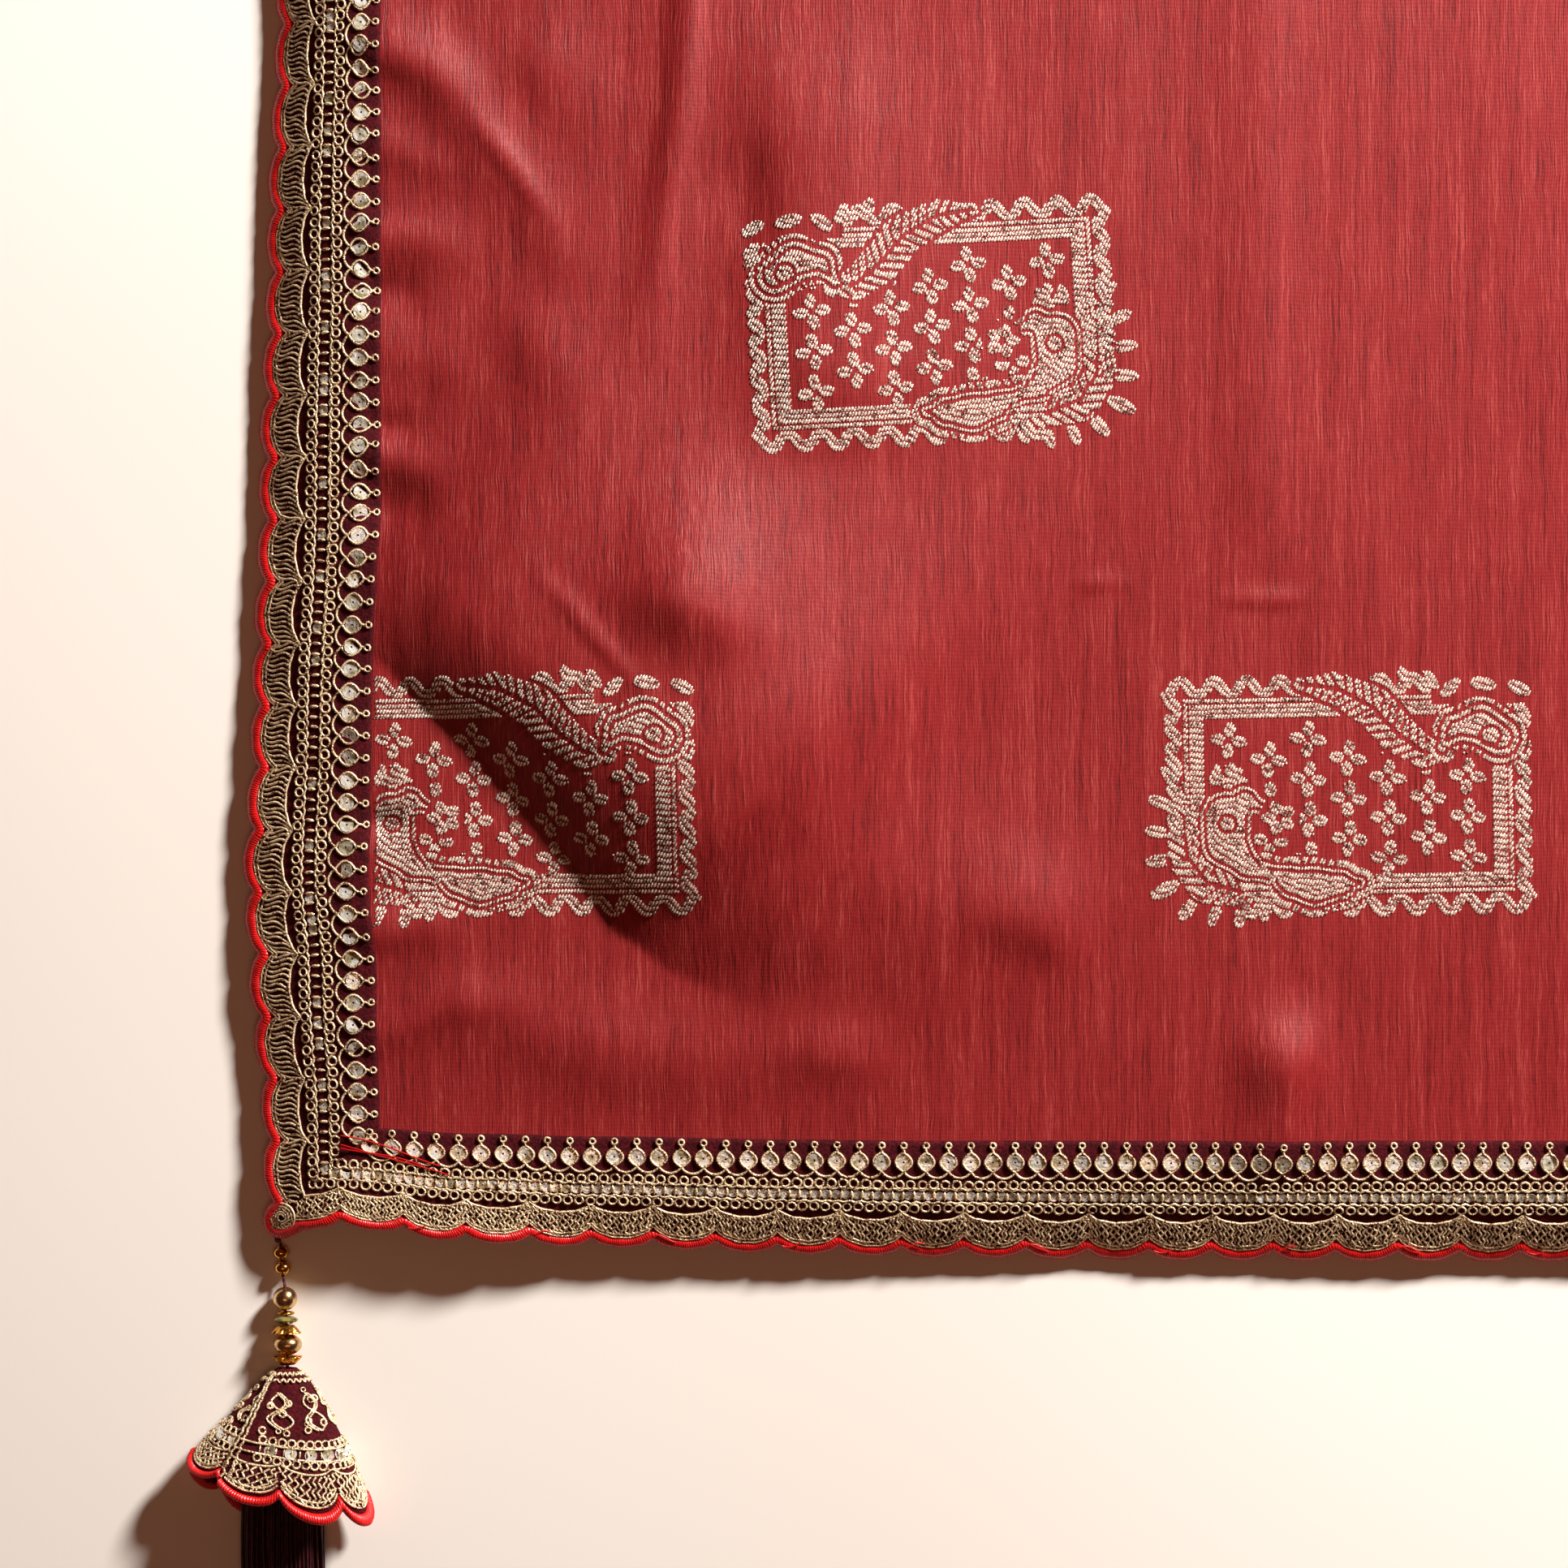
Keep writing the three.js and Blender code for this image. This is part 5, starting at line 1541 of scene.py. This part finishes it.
def skirt_places(turn, share, above=0.0, **how):
    """Places for small shapes on the skirt."""
    return frames_on(skirt_lace, turn, share, SKIRT_LIFT + above, step=0.004, **how)


def skirt_fans(rng):
    """Curling threads in each scallop of the skirt, between edging lines."""
    lines = []
    for k in range(SKIRT_SCALLOPS + 1):
        middle = k * SKIRT_PITCH
        for i in range(10):
            s = -0.86 + 0.19 * i
            q = np.linspace(0, 1, 12)
            turn = middle + SKIRT_PITCH / 2 * (s + 0.16 * (q - 0.5) * (1 - 1.2 * s)
                                               + 0.07 * np.sin(q * 17 + rng.uniform(0, 6)))
            at = middle + SKIRT_PITCH / 2 * s
            low = 0.77 - 0.05 * scallop_depth(at, SKIRT_PITCH)
            if turn.min() > 0 and turn.max() < SKIRT_TURNS:
                lines.append(skirt_line(turn, low + (skirt_edge(at) - 0.05 - low) * q))
        turn = middle + SKIRT_PITCH / 2 * np.linspace(-0.95, 0.95, 13)
        keep = (turn > 0) & (turn < SKIRT_TURNS)
        turn = turn[keep]
        if keep.sum() > 2:
            for share in (skirt_edge(turn) - 0.045, skirt_edge(turn) - 0.075,
                          0.76 - 0.05 * scallop_depth(turn, SKIRT_PITCH)):
                lines.append(skirt_line(turn, share))
    return lines


def skirt_scrolls(rng, wire):
    """Scrolls high on the skirt, each of three crossing waves with small rings about it."""
    lines, parts = [], []
    for k in range(SKIRT_SCALLOPS):
        middle = (k + 0.5) / SKIRT_SCALLOPS + rng.uniform(-0.012, 0.012)
        q = np.linspace(-1, 1, 21)
        reach, lean = rng.uniform(0.11, 0.16), rng.uniform(-0.03, 0.03)
        for way, shift in ((1, 0.0), (-1, 0.0), (1, 0.014)):
            turn = middle + shift + lean * q + 0.036 * np.sin(math.pi * q) * way
            lines.append(skirt_line(turn, 0.34 + reach * q))
        turn = middle + rng.uniform(-0.055, 0.055, 7)
        places = skirt_places(turn, rng.uniform(0.18, 0.52, 7), size=rng.uniform(0.7, 1.1, 7))
        parts.append(laid("curls", ring_shape(1.0 * MM, wire), places))
    return lines, parts


def skirt_embroidery(wire):
    """The mesh of all the zari on the skirt."""
    rng = np.random.default_rng(61)
    lines, parts = skirt_fans(rng), []
    for share, count in ((0.70, 46), (0.565, 40)):
        turn = np.arange(count) / count + 0.01
        places = skirt_places(turn, np.full(turn.shape, share),
                              tilt=rng.uniform(-0.1, 0.1, (count, 3)))
        parts.append(laid("rings", ring_shape(1.2 * MM, wire), places))
    for share in (0.67, 0.595):
        turn = np.linspace(0.003, 1.04, 120)
        lines.append(skirt_line(turn, np.full(turn.shape, share)))
    turn = np.arange(52) / 52 + 0.006
    places = skirt_places(turn, np.full(turn.shape, SKIRT_BAR_ROW))
    parts.append(laid("bars", bar_shape(2.4 * MM, 0.7 * MM, 0.4 * MM), places))
    scrolls, curls = skirt_scrolls(rng, wire)
    lines += scrolls
    parts += curls
    # zigzags round the neck, and a stitched edge where the lace laps over its start
    for share in (0.05, 0.11):
        turn = np.linspace(0.003, 1.04, 130)
        lines.append(skirt_line(turn, share + 0.016 * np.sin(turn * 140 + share * 90)))
    share = np.linspace(0.03, 0.93, 60)
    for side in (SKIRT_TURNS, 1.03):
        lines.append(skirt_line(side + 0.002 * np.sin(share * 90), share))
    parts.append(threads("stitched", lines, wire))
    return joined("tassel_cone_zari", parts), rng


class SAREE_OT_latkan_skirt(bpy.types.Operator):
    """Roll a piece of the lace into the skirt of the latkan and embroider it"""
    bl_idname = "saree.latkan_skirt"
    bl_label = "Latkan skirt"

    def execute(self, context):
        def ground(a, b):
            turn = a * SKIRT_TURNS
            return skirt_lace(turn, b * skirt_edge(turn), np.full(a.shape, 0.1))

        def bound(a, b):
            turn, angle = a * SKIRT_TURNS, b * 2 * math.pi
            return skirt_lace(turn, skirt_edge(turn) + 0.034 * np.cos(angle) + 0.02,
                              0.1 + 1.5 * np.sin(angle))

        mesh = grid_mesh("tassel_cone_ground", 150, 26, ground)
        piece = finish("tassel_cone_ground", mesh, "tassel_cone", [velvet_ground()])
        wall(piece, 0.0007)
        mesh = grid_mesh("tassel_cone_roll", 220, 9, bound, closed=True,
                         uv=lambda a, b: (a * 165, b * 9.0))
        finish("tassel_cone_roll", mesh, "tassel_cone", [satin_roll()])
        gold = zari("zari, gilt wire on a core thread, on the skirt", *LACE_ZARI)
        mesh, rng = skirt_embroidery(context.scene.saree_lace.thread)
        finish("tassel_cone_zari", mesh, "tassel_cone", [gold])
        sequins = 20
        turn = np.arange(sequins) / sequins + 0.013
        places = skirt_places(turn, np.full(turn.shape, SKIRT_BAR_ROW), 0.2,
                              tilt=rng.normal(0, 0.12, (sequins, 3)))
        mesh = laid("tassel_cone_sequins", sequin_shape(1.9 * MM), places)
        piece = finish("tassel_cone_sequins", mesh, "tassel_cone", [foil_sequin()],
                       smooth_faces=False)
        wall(piece, 0.00012)
        return {"FINISHED"}


class SAREE_OT_latkan_threads(bpy.types.Operator):
    """Let the dark threads of the tassel fall from the skirt"""
    bl_idname = "saree.latkan_threads"
    bl_label = "Latkan threads"

    def execute(self, context):
        settings = context.scene.saree_latkan
        rng = np.random.default_rng(71)
        yarn = tassel_yarn("black maroon rayon thread, twisted", "120205", "4a1018")
        paths = []
        end = settings.end / MM
        for k in range(settings.strands):
            r = math.sqrt((k + 0.5) / settings.strands)
            a = k * GOLDEN_ANGLE
            dx, dz = r * math.cos(a), r * math.sin(a)
            t = np.linspace(0, 1, 14)
            ease = smooth(t)
            # a few threads stray; the bundle widens fast under its binding, then slowly
            stray = 1.0 + (rng.uniform(0.1, 0.35) if k % 23 == 0 else 0.0) * t
            wide = (8.6 + 3.9 * smooth(t / 0.25) + 0.9 * t) * stray
            high = 4.0 + 0.2 * ease
            phase = rng.uniform(0, 6.28)
            x = TASSEL_X + dx * wide - 2.0 * np.sin(t * 3.2) + 3 * t
            x += 0.35 * np.sin(t * 14 + phase) * ease
            y = TASSEL_TOP + (end + rng.uniform(0, 7) - TASSEL_TOP) * t
            z = (6.4 - 0.9 * ease) + dz * high
            z += 0.25 * np.sin(t * 11 + phase * 2) * ease * (1 - abs(dz))
            paths.append(np.stack([x, y, np.maximum(z, 0.6)], -1) * MM)
        mesh = threads("tassel_skein_threads", paths, 0.42 * MM)
        finish("tassel_skein_threads", mesh, "tassel_skein", [yarn])
        return {"FINISHED"}


class SAREE_OT_stage(bpy.types.Operator):
    """Set the paper, the soft studio light and the camera straight above the corner"""
    bl_idname = "saree.stage"
    bl_label = "Studio"

    def execute(self, context):
        scene = context.scene
        bm = bmesh.new()
        bmesh.ops.create_grid(bm, x_segments=2, y_segments=2, size=3.0)
        bmesh.ops.translate(bm, vec=(0, 0, -0.0002), verts=bm.verts)
        mesh = bpy.data.meshes.new("paper")
        bm.to_mesh(mesh)
        bm.free()
        mesh.materials.append(studio_paper())
        floor = bpy.data.objects.new("paper", mesh)
        scene.collection.objects.link(floor)
        world = bpy.data.worlds.new("studio")
        scene.world = world
        world.use_nodes = True
        backdrop = world.node_tree.nodes["Background"]
        backdrop.inputs["Color"].default_value = linear("ffa67e")
        backdrop.inputs["Strength"].default_value = 0.05
        # a soft lamp low on the right at the back, and a weak broad one high over the front
        for name, azimuth, elevation, size, power, colour in (
                ("key", 47, 28, (0.34, 0.34), 88, "fffaf5"),
                ("overhead", 270, 79, (1.0, 0.5), 2.6, "ffb48c")):
            light = bpy.data.lights.new(name, "AREA")
            light.shape = "ELLIPSE"
            light.size, light.size_y = size
            light.energy, light.color = power, linear(colour)[:3]
            lamp = bpy.data.objects.new(name, light)
            a, e = math.radians(azimuth), math.radians(elevation)
            lamp.location = LAMP_TARGET + LAMP_DISTANCE * Vector((
                math.cos(a) * math.cos(e), math.sin(a) * math.cos(e), math.sin(e)))
            aim = (LAMP_TARGET - lamp.location).to_track_quat("-Z", "Y")
            lamp.rotation_euler = aim.to_euler()
            scene.collection.objects.link(lamp)
        scene.view_settings.view_transform = "Standard"
        camera = bpy.data.cameras.new("camera")
        camera.sensor_width = SENSOR
        camera.lens = SENSOR * CAMERA_HEIGHT / VIEW_WIDTH
        above = bpy.data.objects.new("camera", camera)
        above.location = (*VIEW_MIDDLE, CAMERA_HEIGHT + CLOTH_LEVEL)
        scene.collection.objects.link(above)
        scene.camera = above
        return {"FINISHED"}


OPERATORS = (
    SAREE_OT_stage, SAREE_OT_folded_layers, SAREE_OT_pallu_cloth, SAREE_OT_butis,
    SAREE_OT_lace_ground, SAREE_OT_lace_zari, SAREE_OT_lace_sequins, SAREE_OT_lace_roll,
    SAREE_OT_latkan_cord, SAREE_OT_latkan_beads, SAREE_OT_latkan_skirt,
    SAREE_OT_latkan_threads)


class SAREE_PT_panel(bpy.types.Panel):
    """Sizes of the saree and the steps that make it"""
    bl_label = "Saree"
    bl_idname = "SAREE_PT_panel"
    bl_space_type = "VIEW_3D"
    bl_region_type = "UI"
    bl_category = "Saree"

    def draw(self, context):
        scene = context.scene
        for group in (scene.saree_cloth, scene.saree_lace, scene.saree_latkan):
            box = self.layout.box()
            for key in group.bl_rna.properties.keys():
                if key not in ("rna_type", "name"):
                    box.prop(group, key)
        for operator in OPERATORS:
            self.layout.operator(operator.bl_idname)


GROUPS = {"saree_cloth": SareeCloth, "saree_lace": SareeLace, "saree_latkan": SareeLatkan}


def register():
    for cls in (*GROUPS.values(), *OPERATORS, SAREE_PT_panel):
        bpy.utils.register_class(cls)
    for name, cls in GROUPS.items():
        setattr(bpy.types.Scene, name, PointerProperty(type=cls))


def unregister():
    for name in GROUPS:
        delattr(bpy.types.Scene, name)
    for cls in reversed((*GROUPS.values(), *OPERATORS, SAREE_PT_panel)):
        bpy.utils.unregister_class(cls)


def main():
    register()
    for operator in OPERATORS:
        group, name = operator.bl_idname.split(".")
        getattr(getattr(bpy.ops, group), name)()


if __name__ == "__main__":
    main()
